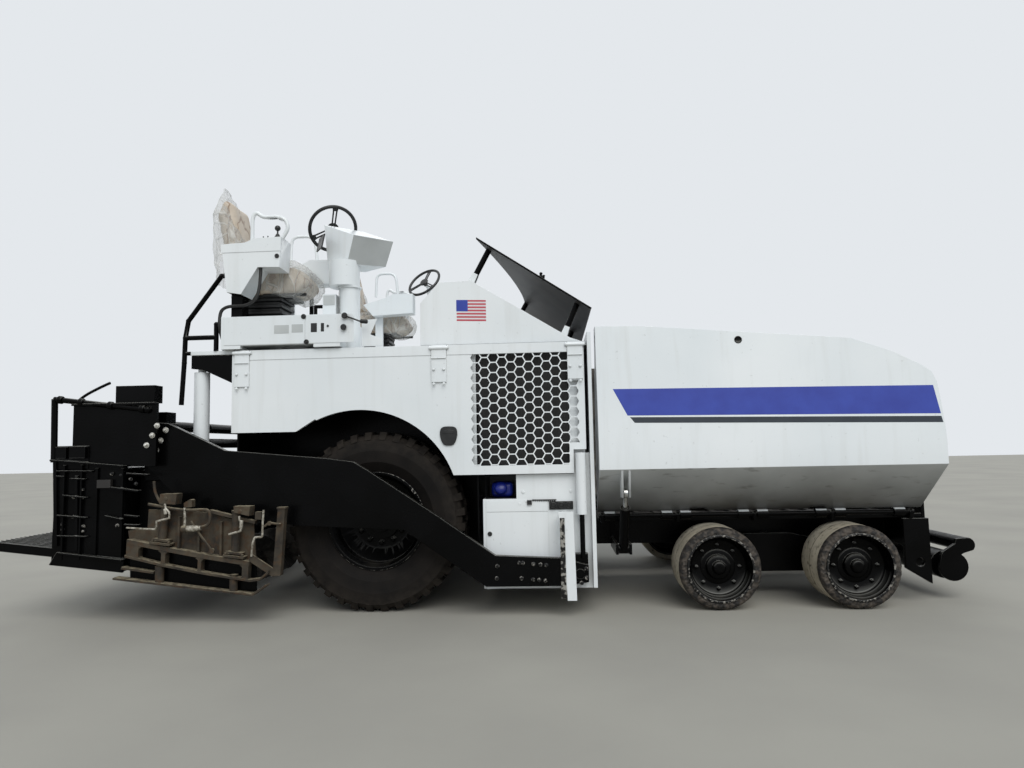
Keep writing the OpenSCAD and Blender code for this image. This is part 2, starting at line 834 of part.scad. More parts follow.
module deflector() {
    half = body_half_w;
    n = dir(atan2(plate_b[1] - plate_a[1], plate_b[0] - plate_a[0]) + 90);
    depth = curve_mid - plate_a[0];
    curve_r = (pow(half + 30, 2) + depth * depth) / (2 * depth);
    color(black) {
        difference() {
            plate_xz(-half, half)
                polygon([
                    [st(plate_a[0]), plate_a[1]], [st(plate_b[0]), plate_b[1]],
                    [st(plate_b[0]) - 14 * n[0], plate_b[1] - 14 * n[1]],
                    [st(plate_a[0]) - 14 * n[0], plate_a[1] - 14 * n[1]]
                ]);
            translate([st(curve_mid - curve_r), 0, plate_b[1] - 100])
                cylinder(r = curve_r, h = 800, $fn = 720);
        }
        for (row = post_rows, y = row[3]) {
            foot = [row[0], hood_z(row[0])];
            head = [row[1], plate_z(row[1]) - 10];
            start = foot + row[2] * (head - foot) / norm(head - foot);
            rod([st(start.x), y, start.y], [st(head.x), y, head.y], 22);
        }
    }
}

// Operator stations

// Middle of the steering wheel and the direction that it faces
wheel_at = [-420, body_half_w - 420, deck_z + 1035];
wheel_dir = [-0.39, -0.72, 0.57] / norm([-0.39, -0.72, 0.57]);
steer_r = 16;
station_top = deck_z + station_h;
// A station's own outline: places ahead of the drive axle and heights over the deck
console = [[-1143, 803], [-959, 812], [-878, 845], [-680, 849], [-692, 614], [-859, 620],
           [-986, 415], [-1095, 434]];
inner_console = [[-1000, 735], [-737, 814], [-689, 843], [-480, 838], [-480, 635], [-900, 615]];
arm_rest = [[-924, 800], [-923, 1000], [-890, 1051], [-818, 1014], [-720, 1015], [-671, 986],
            [-660, 930], [-700, 835]];

module station(side) {
    shift = side == left ? left_station_shift : 0;
    y0 = station_out - station_w;
    color(white)
        on_side(side)
            translate([shift, 0, 0]) {
                block([st(-1135), y0, deck_z + 25], [st(-230), station_out, station_top]);
                for (s = [[-1135, -985], [-430, -230]])
                    block([st(s[0]), y0, deck_z + seat_gap], [st(s[1]), station_out, deck_z + 26]);
                steering_stand();
                // Console on the outer side with its post and its arm rest
                plate_xz(station_out - 210, station_out)
                    polygon([for (p = console) [st(p[0]), deck_z + p[1]]]);
                block([st(-1085), station_out - 180, station_top - 1],
                      [st(-1000), station_out - 60, deck_z + 440]);
                rail([for (p = arm_rest) [st(p[0]), station_out - 50, deck_z + p[1]]], 15);
                bar_z([st(-730), station_out - 60, deck_z + 840], 6, 80);
                translate([st(-730), station_out - 60, deck_z + 932]) sphere(r = 22);
                // Narrow console on the inner side
                plate_xz(y0 - 110, y0 + 35)
                    polygon([for (p = inner_console) [st(p[0]), deck_z + p[1]]]);
                block([st(-900), y0, station_top - 1], [st(-820), y0 + 30, deck_z + 640]);
            }
}

// Steering column, its collar, its drum and the pod under the wheel
module steering_stand() {
    hub = [st(wheel_at[0]), wheel_at[1], wheel_at[2]];
    y = station_out - 150;
    bar_z([st(-225), y - 100, deck_z + seat_gap], 80, 490);
    bar_z([st(-225), y - 100, deck_z + 484], 92, 16);
    bar_z([st(-265), y - 100, deck_z + 499], 118, 200);
    eight_corners(
        [[st(-400), y - 110, deck_z + 655], [st(-150), y - 290, deck_z + 663],
         [st(40), y - 190, deck_z + 675], [st(-221), y - 10, deck_z + 667]],
        [[st(-430), y - 100, deck_z + 1008], [st(-164), y - 300, deck_z + 1001],
         [st(100), y - 200, deck_z + 881], [st(-166), y, deck_z + 888]]);
    rod(hub, hub - 260 * wheel_dir, steer_r);
}

// Wiring hose of each station, from its outer console down past its base to the deck
hose_r = 13;
hose_y = body_half_w;
hose = [[-845, 0, 618.6], [-852, 0, 470], [-890, 0, 370], [-960, 0, 334], [-1095, 0, 332],
        [-1150, 0, 300], [-1162, 0, 190], [-1160, -80, 60], [-1160, -80, seat_gap]];

module console_hoses() {
    color(black)
        for (side = [left, right])
            on_side(side)
                translate([side == left ? left_station_shift : 0, hose_y, deck_z])
                    rail([for (p = hose) [st(p[0]), p[1], p[2]]], hose_r, 1.25);
}

module seat(side) {
    shift = side == left ? left_station_shift : 0;
    y = station_out - 435;
    z = station_top + seat_gap;
    color(beige)
        on_side(side)
            translate([shift, 0, 0]) {
                block([st(-1207), y - 160, z], [st(-757), y + 160, z + 225]);
                plate_xz(y - 210, y + 210)
                    polygon([
                        [st(-1180), z + 224], [st(-560), z + 224], [st(-470), z + 285],
                        [st(-480), z + 350], [st(-600), z + 450], [st(-1180), z + 430]
                    ]);
                plate_xz(y - 200, y + 200)
                    polygon([
                        [st(-1190), z + 429], [st(-1000), z + 429], [st(-1130), z + 1080],
                        [st(-1210), z + 1110], [st(-1290), z + 960]
                    ]);
            }
}

module steering_wheel(side) {
    shift = side == left ? left_station_shift : 0;
    color(black)
        on_side(side)
            translate([st(wheel_at[0]) + shift, wheel_at[1], wheel_at[2]])
                rotate([0, acos(wheel_dir.z), atan2(wheel_dir.y, wheel_dir.x)])
                    difference() {
                        union() {
                            rotate_extrude() translate([wheel_r, 0]) circle(r = 14);
                            cylinder(r = 40, h = 30, center = true);
                            for (a = [90, 210, 330])
                                rotate([0, 90, a]) cylinder(r = 9, h = wheel_r);
                        }
                        translate([0, 0, -16]) cylinder(r = steer_r + run, h = 18);
                    }
}

rail_y = body_half_w - 35;
rail_r = 18;

module hand_rails() {
    color(black)
        for (side = [left, right])
            on_side(side) {
                shift = side == left ? left_station_shift : 0;
                // Outer rail from the rear shelf up to the station's console
                rail([
                    [st(-1462), rail_y, 1560], [st(-1445), rail_y, 1880], [st(-1440), rail_y, 2069],
                    [st(-1418), rail_y, 2200], [st(-1165), rail_y, 2541],
                    [st(-1144 - seat_gap) + shift, rail_y, 2541]
                ], rail_r);
                rod([st(lift_top[0] - 50 - seat_gap), rail_y, deck_z - 15],
                    [st(-1444), rail_y, deck_z - 15], rail_r - 3);
                // Inner rail from the station's base down to the shelf
                rail([
                    [st(-1136 - seat_gap) + shift, rail_y, 2168], [st(-1200), rail_y, 2168],
                    [st(-1200), rail_y, deck_z + seat_gap]
                ], rail_r);
                rail([[st(-1440), rail_y, 2069], [st(-1200), rail_y, 2069]], rail_r);
                // Loop beside the rear steps
                rail([
                    [st(rear_s + 10), 420, deck_z + seat_gap], [st(rear_s + 10), 420, 2650],
                    [st(rear_s + 250), 420, 2650], [st(rear_s + 250), 420, deck_z + seat_gap]
                ], rail_r);
            }
}

// Hopper

module wing_section(t) {
    polygon([
        [wing_hinge_y - 12, wing_hinge_z + 30], [wing_out, wing_fold_z],
        [wing_out, wing_waist_z], [wing_out - 70, wing_top_z],
        [wing_out - 70 - t, wing_top_z], [wing_out - t, wing_waist_z],
        [wing_out - t, wing_fold_z + t], [wing_hinge_y - 12, wing_hinge_z + 30 + t]
    ]);
}

module hopper_wing(side) {
    color(white)
        on_side(side)
            difference() {
                union() {
                    plate_yz(st(wing_rear), st(wing_front)) wing_section(wing_t);
                    // End plate next to the tractor
                    plate_yz(st(wing_rear), st(wing_rear + wing_t))
                        polygon([
                            [wing_hinge_y - 12, wing_hinge_z + 30], [wing_out - 1, wing_fold_z],
                            [wing_out - 1, wing_waist_z], [wing_out - 71, wing_top_z],
                            [wing_out - 200, wing_top_z], [wing_hinge_y - 12, wing_hinge_z + 300]
                        ]);
                    // Stiff front edge
                    plate_yz(st(wing_front - wing_t), st(wing_front)) wing_section(60);
                    // Hinge eyes
                    for (i = [0:3], e = [0, 1])
                        bar_x([st(hinge_ears[i] + 16 + e * (ear_pitch - 140)),
                               wing_hinge_y, wing_hinge_z], wing_rod_r + 16, 80);
                    // Lug for the cylinder
                    for (dx = [-34, 18])
                        plate_yz(st(cyl_x + dx), st(cyl_x + dx + 16))
                            polygon([
                                [wing_pin[0] - 40, wing_pin[1] - 30],
                                [wing_pin[0] + 34, wing_pin[1] - 30],
                                [wing_out - 5, wing_fold_z + 1], [wing_pin[0] - 60, wing_fold_z - 40]
                            ]);
                    bar_x([st(cyl_x - 34), wing_pin[0], wing_pin[1]], 10, 68);
                }
                bar_x([st(wing_rear - 1), wing_hinge_y, wing_hinge_z],
                      wing_rod_r + run, wing_front - wing_rear + 2);
                // Slope of the top edge and the cut front corner
                plate_xz(0, wing_out + 50)
                    polygon([
                        [st(wing_rear - 1), wing_top_z + 1], [st(1983), wing_top_z - 6],
                        [st(3467), wing_top_z - 135], [st(3738), wing_top_z - wing_top_drop],
                        [st(3930), wing_top_z - 338], [st(4002), wing_top_z - 392],
                        [st(4031), wing_top_z - 470], [st(4043), wing_top_z - 596],
                        [st(wing_front + 1), wing_top_z - 820], [st(wing_front + 1), wing_top_z + 1]
                    ]);
            }
}

module hopper_apron() {
    color(black)
        block([st(front_face + seat_gap), -wing_hinge_y + 60, hopper_floor_z - 60],
              [st(front_face + 25), wing_hinge_y - 60, 900]);
}

// Cylinder that folds a wing, drawn from its foot to its eye
wing_cyl_l = norm(wing_pin - wing_foot);
wing_cyl_a = atan2(wing_pin[1] - wing_foot[1], wing_pin[0] - wing_foot[0]);
wing_rod_cyl_r = 18;

module along_wing_cylinder() {
    translate([st(cyl_x), wing_foot[0], wing_foot[1]])
        rotate([wing_cyl_a - 90, 0, 0]) children();
}

module wing_barrel(side) {
    l = wing_cyl_l - 130;
    color(black)
        on_side(side)
            along_wing_cylinder()
                difference() {
                    union() {
                        cylinder(r = 36, h = l);
                        bar_x([-38, 0, 0], 36, 76);
                    }
                    bar_x([-40, 0, 0], foot_pin_r + run, 80);
                    translate([0, 0, 60]) cylinder(r = wing_rod_cyl_r + run, h = l);
                }
}

module wing_rod(side) {
    color(chrome)
        on_side(side)
            along_wing_cylinder()
                difference() {
                    union() {
                        translate([0, 0, 70]) cylinder(r = wing_rod_cyl_r, h = wing_cyl_l - 100);
                        bar_x([-12, 0, wing_cyl_l], 34, 24);
                    }
                    bar_x([-14, 0, wing_cyl_l], 22, 28);
                }
}

// Tow arms and lift cylinders

module tow_arm(side) {
    color(black)
        on_side(side)
            difference() {
                union() {
                    plate_xz(arm_out - arm_t, arm_out)
                        polygon([
                            [st(835), 215], [st(1360), 215], [st(tow_x + 60), 240],
                            [st(tow_x + 60), 360], [st(1360), 410], [st(904), 432],
                            [st(511), 703], [st(-5), 1044], [st(-118), 1112], [st(-316), 1141],
                            [st(-1067), 1212], [st(-1500), 1420], [st(-1700), 1440],
                            [st(-1700), 1150], [st(-1300), 760], [st(-505), 659],
                            [st(251), 620], [st(398), 516]
                        ]);
                    // Bracket for the lift cylinder's eye
                    for (y = [lift_y - 60, lift_y + 35])
                        block([st(lift_pin[0] - 45), y, lift_pin[1] - 50],
                              [st(lift_pin[0] + 45), y + 25, lift_pin[1] + 45]);
                    block([st(lift_pin[0] - 45), lift_y - 60, lift_pin[1] - 80],
                          [st(lift_pin[0] + 45), arm_out - arm_t + 1, lift_pin[1] - 49]);
                    bar_y([st(lift_pin[0]), lift_y - 60, lift_pin[1]], 14, 120);
                }
                bar_y([st(tow_x), arm_out - arm_t - 1, tow_z], tow_pin_r + run, arm_t + 2);
            }
}

lift_pin = [-1345, 1130];
lift_l = lift_top[1] - lift_pin[1];
lift_rod_r = 28;

module lift_barrel(side) {
    l = 600;
    color(white)
        on_side(side)
            translate([st(lift_top[0]), lift_y, lift_top[1]])
                difference() {
                    union() {
                        translate([0, 0, -l]) cylinder(r = 57, h = l - 75);
                        translate([0, 0, -80]) cylinder(r = 30, h = 80);
                        bar_y([0, -40, 0], 42, 80);
                    }
                    bar_y([0, -41, 0], lift_pin_r + run, 82);
                    translate([0, 0, -l - 1]) cylinder(r = lift_rod_r + run, h = l - 100);
                }
}

module lift_rod(side) {
    color(chrome)
        on_side(side)
            translate([st(lift_pin[0]), lift_y, lift_pin[1]])
                difference() {
                    union() {
                        translate([0, 0, 32]) cylinder(r = lift_rod_r, h = 530);
                        bar_y([0, -17, 0], 40, 34);
                    }
                    bar_y([0, -18, 0], 26, 36);
                }
}

// Screed

// Where a point of the working screed, s behind the drive axle and z up, is carried when raised
function up(s, z) =
    let (dx = -s - tow_x, dz = z - tow_z)
    [st(tow_x) + dx * cos(screed_tilt) + dz * sin(screed_tilt),
     tow_z - dx * sin(screed_tilt) + dz * cos(screed_tilt)];

sleeve = [screed_half_w - 155, screed_half_w - 15];
guide_zs = [1290, 1430];
guide_s = -1960;

module main_screed() {
    color(black) {
        difference() {
            plate_xz(-screed_half_w, screed_half_w)
                polygon([
                    up(screed_back, 0), up(screed_front, 0), up(screed_front - 25, 45),
                    [st(-screed_front), 800], [st(-screed_front - 60), 1050], [st(-screed_back), 1080]
                ]);
            plate_xz(-screed_half_w + 14, screed_half_w - 14)
                polygon([
                    up(screed_back - 22, 110), up(screed_front + 22, 110),
                    [st(-screed_front - 24), 790], [st(-screed_front - 80), 1028],
                    [st(-screed_back + 22), 1056]
                ]);
            // Window in the rear wall
            block([st(-screed_back - 20), -180, 620], [st(-screed_back + 40), 180, 960]);
        }
        for (side = [left, right])
            on_side(side) {
                // End plate that the tow arm is bolted to
                block([st(-1700), screed_half_w - 40, 1000], [st(-1480), arm_out - arm_t, 1420]);
                difference() {
                    block([st(guide_s - 75), sleeve[0], 1190], [st(-1560), sleeve[1], 1510]);
                    for (z = guide_zs)
                        bar_y([st(guide_s), sleeve[0] - 1, z], guide_r + run, 200);
                }
            }
    }
}

// Place along an extension's end plate, ahead of the drive axle, of its two box ribs
rib_ss = [-2216, -2086];

module screed_extension(side) {
    tube_y = ext_out + 6;
    color(black)
        on_side(side) {
            // Box, open at its inner end
            difference() {
                plate_xz(120, ext_out - 29)
                    polygon([
                        up(ext_back, 0), up(ext_front, 0), [st(-ext_front), 1100],
                        [st(-ext_back), 1160]
                    ]);
                plate_xz(119, ext_out - 31)
                    polygon([
                        up(ext_back - 22, 110), up(ext_front + 22, 110),
                        [st(-ext_front - 22), 1078], [st(-ext_back + 22), 1136]
                    ]);
            }
            // End plate, its higher plate with a top flange, and the heater box on its foot
            plate_xz(ext_out - 30, ext_out)
                polygon([
                    [st(-ext_back), 1168], [st(-ext_front), 1112], [st(-ext_front), 365],
                    [st(-ext_back - 10), 418]
                ]);
            block([st(-2169), ext_out - 30, 1110], [st(-1543), ext_out, 1560]);
            block([st(-2169), ext_out - 30, 1558], [st(-1543), ext_out + 28, 1572]);
            for (s = rib_ss) block([st(s), ext_out - 1, 450], [st(s + 12), ext_out + 25, 1130]);
            plate_xz(ext_out - 1, ext_out + 20)
                polygon([
                    up(ext_back + 3, 0), up(ext_front - 19, 0), up(ext_front - 21, 97),
                    up(ext_back - 40, 93)
                ]);
            // Control box with the rail over it
            block([st(-1860), ext_out - 120, 1571], [st(-1567), ext_out - 10, 1699]);
            rod([st(-2300), tube_y, 1150], [st(-2310), tube_y, 1612], 22);
            rod([st(-2312), tube_y, 1610], [st(-1606), tube_y, 1519], 20);
            translate([st(-1606), tube_y, 1519]) sphere(r = 27);
            for (z = guide_zs) bar_y([st(guide_s), 60, z], guide_r, ext_out - 29 - 60);
            walkway();
        }
}

// Grated walkway behind an extension, between two side frames
module walkway() {
    for (y = [108:48:ext_out - 60])
        plate_xz(y, y + 7)
            polygon([
                up(ext_back - 4, 80), up(walk_back, 80), up(walk_back, 110), up(ext_back - 4, 110)
            ]);
    for (y = [60, ext_out - 28])
        plate_xz(y, y + 8)
            polygon([
                up(ext_back - 10, 50), up(walk_back + 2, 50), up(walk_back + 2, 114),
                up(ext_back - 10, 114)
            ]);
    for (s = [ext_back - 10, (ext_back + walk_back) / 2, walk_back - 12])
        plate_xz(60, ext_out - 20)
            polygon([up(s, 60), up(s + 14, 60), up(s + 14, 102), up(s, 102)]);
}

gate_out = ext_out + 75;
// Uprights and legs of an end gate, as distances behind the drive axle on the working screed
gate_ribs = [1690, 1560, 1315, 850];
gate_legs = [1600, 1020];
// Jacks: places of their feet and heads
jacks = [[[1479, 248], [1448, 558]], [[931, 209], [908, 524]]];

module end_gate(side) {
    y0 = ext_out + seat_gap;
    y_in = ext_out + 11;
    y_mid = ext_out + 36;
    y_rail = ext_out + 60;
    color(rusty)
        on_side(side) {
            // Backing plate down to the skid
            plate_xz(y0, ext_out + 12)
                polygon([
                    up(1715, -45), up(1726, 102), up(1850, 114), up(1850, 420), up(1594, 496),
                    up(885, 471), up(800, 200), up(727, 60), up(727, 0), up(785, -50)
                ]);
            // Upper and lower rails, uprights between them
            plate_xz(y_in, y_rail)
                polygon([up(1732, 218), up(1732, 258), up(839, 190), up(839, 150)]);
            plate_xz(y_in, y_rail)
                polygon([up(1726, 60), up(1726, 100), up(605, 70), up(605, 30)]);
            for (s = gate_ribs)
                plate_xz(y_in, y_rail - 10)
                    let (top = 165 + (s - 839) * 0.076)
                        polygon([up(s - 7, 50), up(s + 7, 50), up(s + 7, top), up(s - 7, top)]);
            // Skid
            plate_xz(y0, gate_out)
                polygon([
                    up(1810, -45), up(785, -55), up(683, 19), up(683, 33), up(789, -41),
                    up(1810, -31)
                ]);
            for (s = gate_legs)
                rod(at_gate(s, -40, y_mid), at_gate(s, 180, y_mid), 22);
            for (j = jacks) jack(j[0], j[1], y_mid);
            // Front post with its brace
            plate_xz(y0, ext_out + 40)
                polygon([up(605, 40), up(650, 40), up(655, 560), up(610, 560)]);
            plate_xz(y0, ext_out + 20)
                polygon([up(820, 200), up(800, 240), up(620, 130), up(640, 90)]);
        }
}

function at_gate(s, z, y) = [up(s, z)[0], y, up(s, z)[1]];

// Screw jack with a foot flange, a cap and a crank
module jack(foot, head, y) {
    a = at_gate(foot.x, foot.y, y);
    b = at_gate(head.x, head.y, y);
    along = (b - a) / norm(b - a);
    rod(a - 30 * along, b, 26);
    rod(a - 6 * along, a + 8 * along, 44);
    rod(b - 60 * along, b + 14 * along, 36);
    rod(b, b + 60 * along, 9);
    rod(b + 54 * along + [0, -2, 0], b + 54 * along + [0, 70, 0], 8);
    block([a.x - 30, ext_out + 10, a.z + 100], [a.x + 30, y - 10, a.z + 150]);
}

// Every node, drawn one at a time or all together

main_frame();
hopper_sills();
auger_case();
conveyors();
engine_block();
drive_axle();
bogie_beams();
push_beam();
drive_tyre(left);  // drive_tyre_left
drive_tyre(right);  // drive_tyre_right
drive_rim(left);  // drive_rim_left
drive_rim(right);  // drive_rim_right
knuckle(bogie_stations[0], left);  // knuckle_rear_left
knuckle(bogie_stations[0], right);  // knuckle_rear_right
knuckle(bogie_stations[1], left);  // knuckle_front_left
knuckle(bogie_stations[1], right);  // knuckle_front_right
front_wheel(bogie_stations[0], left);  // front_wheel_rear_left
front_wheel(bogie_stations[0], right);  // front_wheel_rear_right
front_wheel(bogie_stations[1], left);  // front_wheel_front_left
front_wheel(bogie_stations[1], right);  // front_wheel_front_right
push_roller(left);  // push_roller_left
push_roller(right);  // push_roller_right
body_shell();
deck();
cowl();
deflector();
hand_rails();
fluid_tank();
console_hoses();
side_cabinet(left);  // side_cabinet_left
side_cabinet(right);  // side_cabinet_right
side_door(left);  // side_door_left
side_door(right);  // side_door_right
station(left);  // station_left
station(right);  // station_right
seat(left);  // seat_left
seat(right);  // seat_right
steering_wheel(left);  // steering_wheel_left
steering_wheel(right);  // steering_wheel_right
hopper_wing(left);  // hopper_wing_left
hopper_wing(right);  // hopper_wing_right
hopper_apron();
wing_barrel(left);  // wing_barrel_left
wing_barrel(right);  // wing_barrel_right
wing_rod(left);  // wing_rod_left
wing_rod(right);  // wing_rod_right
levelling_cylinders();
tow_arm(left);  // tow_arm_left
tow_arm(right);  // tow_arm_right
lift_barrel(left);  // lift_barrel_left
lift_barrel(right);  // lift_barrel_right
lift_rod(left);  // lift_rod_left
lift_rod(right);  // lift_rod_right
main_screed();
screed_extension(left);  // screed_extension_left
screed_extension(right);  // screed_extension_right
end_gate(left);  // end_gate_left
end_gate(right);  // end_gate_right
auger(left);  // auger_left
auger(right);  // auger_right
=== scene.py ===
import json
import math

import bpy
from mathutils import Matrix, Vector, noise

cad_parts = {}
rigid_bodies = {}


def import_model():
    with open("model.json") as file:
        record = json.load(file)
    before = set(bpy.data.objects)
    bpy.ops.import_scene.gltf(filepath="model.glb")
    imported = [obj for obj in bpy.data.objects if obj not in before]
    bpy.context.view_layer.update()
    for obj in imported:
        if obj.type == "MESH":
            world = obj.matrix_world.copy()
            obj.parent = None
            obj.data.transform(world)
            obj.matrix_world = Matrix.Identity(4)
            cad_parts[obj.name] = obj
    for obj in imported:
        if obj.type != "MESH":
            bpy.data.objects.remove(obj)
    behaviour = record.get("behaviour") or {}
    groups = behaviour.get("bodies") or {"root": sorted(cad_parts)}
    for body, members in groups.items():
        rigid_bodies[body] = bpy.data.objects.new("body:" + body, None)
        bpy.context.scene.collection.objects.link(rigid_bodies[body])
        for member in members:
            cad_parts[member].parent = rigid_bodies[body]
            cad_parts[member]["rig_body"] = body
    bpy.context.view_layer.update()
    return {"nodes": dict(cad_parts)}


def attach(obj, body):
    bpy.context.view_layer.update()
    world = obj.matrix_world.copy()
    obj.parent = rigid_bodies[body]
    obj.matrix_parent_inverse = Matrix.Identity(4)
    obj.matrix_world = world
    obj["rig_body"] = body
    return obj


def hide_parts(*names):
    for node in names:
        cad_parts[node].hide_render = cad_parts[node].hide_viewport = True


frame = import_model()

bpy.ops.object.select_all(action="DESELECT")
scene = bpy.context.scene
scene.view_settings.view_transform = "Standard"

# Photograph's standpoint: a hand-held camera a little below the deck, about 5 m from the
# machine's right side, looking slightly to the rear, up 5 degrees and tipped by one degree.
eye = Vector((0.498, -6.698, 1.193))
turned_by, raised, tipped = math.radians(3.0), math.radians(5.0), math.radians(1.15)
ahead = Vector((-math.sin(turned_by) * math.cos(raised), math.cos(turned_by) * math.cos(raised),
                math.sin(raised)))
level_right = ahead.cross(Vector((0, 0, 1))).normalized()
level_up = level_right.cross(ahead)
right_hand = level_right * math.cos(tipped) - level_up * math.sin(tipped)
upward = level_right * math.sin(tipped) + level_up * math.cos(tipped)
camera_data = bpy.data.cameras.new("camera")
camera_data.lens = 25.45
camera_data.sensor_width = 36.0
camera_data.dof.use_dof = False
camera = bpy.data.objects.new("camera", camera_data)
scene.collection.objects.link(camera)
camera.matrix_world = Matrix.Translation(eye) @ Matrix(
    (right_hand, upward, -ahead)).transposed().to_4x4()
scene.camera = camera


# Yard and light: a plain pale concrete floor under an even overcast sky. Two very broad soft
# lamps stand for the brighter cloud over the near side and the thinner light behind.
def linear(code):
    """Linear colour, with alpha, of an sRGB hex code."""
    parts = [int(code[i:i + 2], 16) / 255 for i in (1, 3, 5)]
    return tuple(p / 12.92 if p <= 0.04045 else ((p + 0.055) / 1.055) ** 2.4
                 for p in parts) + (1.0,)


def add_node(owner, kind, **given):
    """Adds a node to a material or world. A given name is a property, an input with _ for each
    space, or inN for the input of that number, and its value is a setting or a socket."""
    made = owner.node_tree.nodes.new(kind)
    for key, value in given.items():
        name = key.replace("_", " ")
        if key[:2] == "in" and key[2:].isdigit():
            entry = made.inputs[int(key[2:])]
        elif name in made.inputs:
            entry = made.inputs[name]
        else:
            setattr(made, key, value)
            continue
        if isinstance(value, bpy.types.NodeSocket):
            owner.node_tree.links.new(value, entry)
        else:
            entry.default_value = value
    return made


def new_material(name):
    """An empty material, and the object coordinates that its patterns use."""
    made = bpy.data.materials.new(name)
    made.use_nodes = True
    made.node_tree.nodes.clear()
    return made, add_node(made, "ShaderNodeTexCoord").outputs["Object"]


def patches(made, place, scale, low, high, detail=4.0, most=1.0):
    """Clouded pattern with so many patches to the metre, from 0 at low to its most at high."""
    cloud = add_node(made, "ShaderNodeTexNoise", Vector=place, Scale=scale, Detail=detail)
    return add_node(made, "ShaderNodeMapRange", Value=cloud.outputs["Fac"], From_Min=low,
                    From_Max=high, To_Max=most).outputs["Result"]


def finish_material(made, ground, layers, relief=None, **surface):
    """Joins a surface shader to the material's output. Each layer is a colour over the ground
    and the pattern that it covers by, and relief is a height, a strength and a distance."""
    tone = linear(ground)
    for code, cover in layers:
        tone = add_node(made, "ShaderNodeMix", data_type="RGBA", Factor=cover, in6=tone,
                        in7=linear(code)).outputs[2]
    if relief:
        height, strength, distance = relief
        surface["Normal"] = add_node(made, "ShaderNodeBump", Height=height, Strength=strength,
                                     Distance=distance).outputs[0]
    shader = add_node(made, "ShaderNodeBsdfPrincipled", Base_Color=tone, **surface)
    add_node(made, "ShaderNodeOutputMaterial", Surface=shader.outputs[0])
    return made


sky = bpy.data.worlds.new("overcast")
scene.world = sky
sky.use_nodes = True
sky.node_tree.nodes.clear()
seen = add_node(sky, "ShaderNodeLightPath")
shown = seen.outputs["Is Camera Ray"]
for ray in ("Is Glossy Ray", "Is Transmission Ray"):
    shown = add_node(sky, "ShaderNodeMath", operation="MAXIMUM", in0=shown,
                     in1=seen.outputs[ray]).outputs[0]
lit = add_node(sky, "ShaderNodeBackground", Color=linear("#dfe8f2"), Strength=0.61)
pale = add_node(sky, "ShaderNodeBackground", Color=linear("#e4e8ec"), Strength=1.0)
both_skies = add_node(sky, "ShaderNodeMixShader", in0=shown, in1=lit.outputs[0],
                      in2=pale.outputs[0])
add_node(sky, "ShaderNodeOutputWorld", Surface=both_skies.outputs[0])

for lamp_name, place, strength, spread_by in (
        ("near_side_cloud", (0.25, -0.75, 0.85), 1.98, 50),
        ("far_side_cloud", (-0.35, 0.8, 0.7), 0.45, 70)):
    lamp_data = bpy.data.lights.new(lamp_name, "SUN")
    lamp_data.energy = strength
    lamp_data.angle = math.radians(spread_by)
    lamp_data.color = linear("#fbfbf8")[:3]
    lamp = bpy.data.objects.new(lamp_name, lamp_data)
    scene.collection.objects.link(lamp)
    lamp.matrix_world = Matrix.Translation((0, 0, 8)) @ (
        -Vector(place)).to_track_quat("-Z", "Y").to_matrix().to_4x4()

concrete, spot = new_material("pale_concrete")
finish_material(concrete, "#98958d", [("#a09d94", patches(concrete, spot, 0.7, 0.35, 0.65, 6.0))],
                Roughness=0.85)
bpy.ops.mesh.primitive_plane_add(size=90, location=(0, 0, 0))
floor = bpy.context.object
floor.name = "floor"
floor.data.materials.append(concrete)


# Frame, hopper sills, bogie beams and the other heavy pieces: steel plate, flame cut and
# welded, then sprayed over with thick black gloss enamel that runs over weld and scale alike.
# Pale grey is painted on the upper rounded edges as a highlight of the gloss, and pale dust lies
# on what faces up.
black_enamel, spot = new_material("black_gloss_enamel")
surface = add_node(black_enamel, "ShaderNodeNewGeometry")
faces_up = add_node(black_enamel, "ShaderNodeSeparateXYZ", Vector=surface.outputs["Normal"])
lying = add_node(black_enamel, "ShaderNodeMapRange", Value=faces_up.outputs["Z"],
                 From_Min=0.6, From_Max=1.0, To_Max=0.4)
settled = add_node(black_enamel, "ShaderNodeMath", operation="MULTIPLY",
                   in0=lying.outputs[0], in1=patches(black_enamel, spot, 11, 0.38, 0.66))
# Painted highlight: upper rounded edges are coloured pale grey, as if the gloss caught the sky
rounded = add_node(black_enamel, "ShaderNodeBevel", samples=4, Radius=0.007)
turn = add_node(black_enamel, "ShaderNodeVectorMath", operation="DISTANCE",
                in0=rounded.outputs[0], in1=surface.outputs["True Normal"])
on_edge = add_node(black_enamel, "ShaderNodeMapRange", Value=turn.outputs["Value"],
                   From_Min=0.12, From_Max=0.5)
edge_up = add_node(black_enamel, "ShaderNodeSeparateXYZ", Vector=rounded.outputs[0])
skyward = add_node(black_enamel, "ShaderNodeMapRange", Value=edge_up.outputs["Z"],
                   From_Min=0.1, From_Max=0.6)
bright = add_node(black_enamel, "ShaderNodeMath", operation="MULTIPLY",
                  in0=on_edge.outputs[0], in1=skyward.outputs[0])
gloss = add_node(black_enamel, "ShaderNodeMapRange", Value=settled.outputs[0],
                 To_Min=0.27, To_Max=0.75)
# Scale and weld spatter under the paint, about 12 mm apart
spatter = add_node(black_enamel, "ShaderNodeTexNoise", Vector=spot, Scale=80, Detail=3.0)
# The pale grey last layer is the painted edge highlight
finish_material(black_enamel, "#040404",
                [("#0a0a0b", patches(black_enamel, spot, 2.5, 0.4, 0.7)),
                 ("#4a463f", settled.outputs[0]), ("#8a8984", bright.outputs[0])],
                (spatter.outputs["Fac"], 0.18, 0.004), Roughness=gloss.outputs[0],
                Specular_IOR_Level=0.08)
black = ("black_paint", black_enamel)


def alone(piece, *others):
    """Selects a piece, and any others with it, and makes it active."""
    bpy.ops.object.select_all(action="DESELECT")
    for one in (piece, *others):
        one.select_set(True)
    bpy.context.view_layer.objects.active = piece


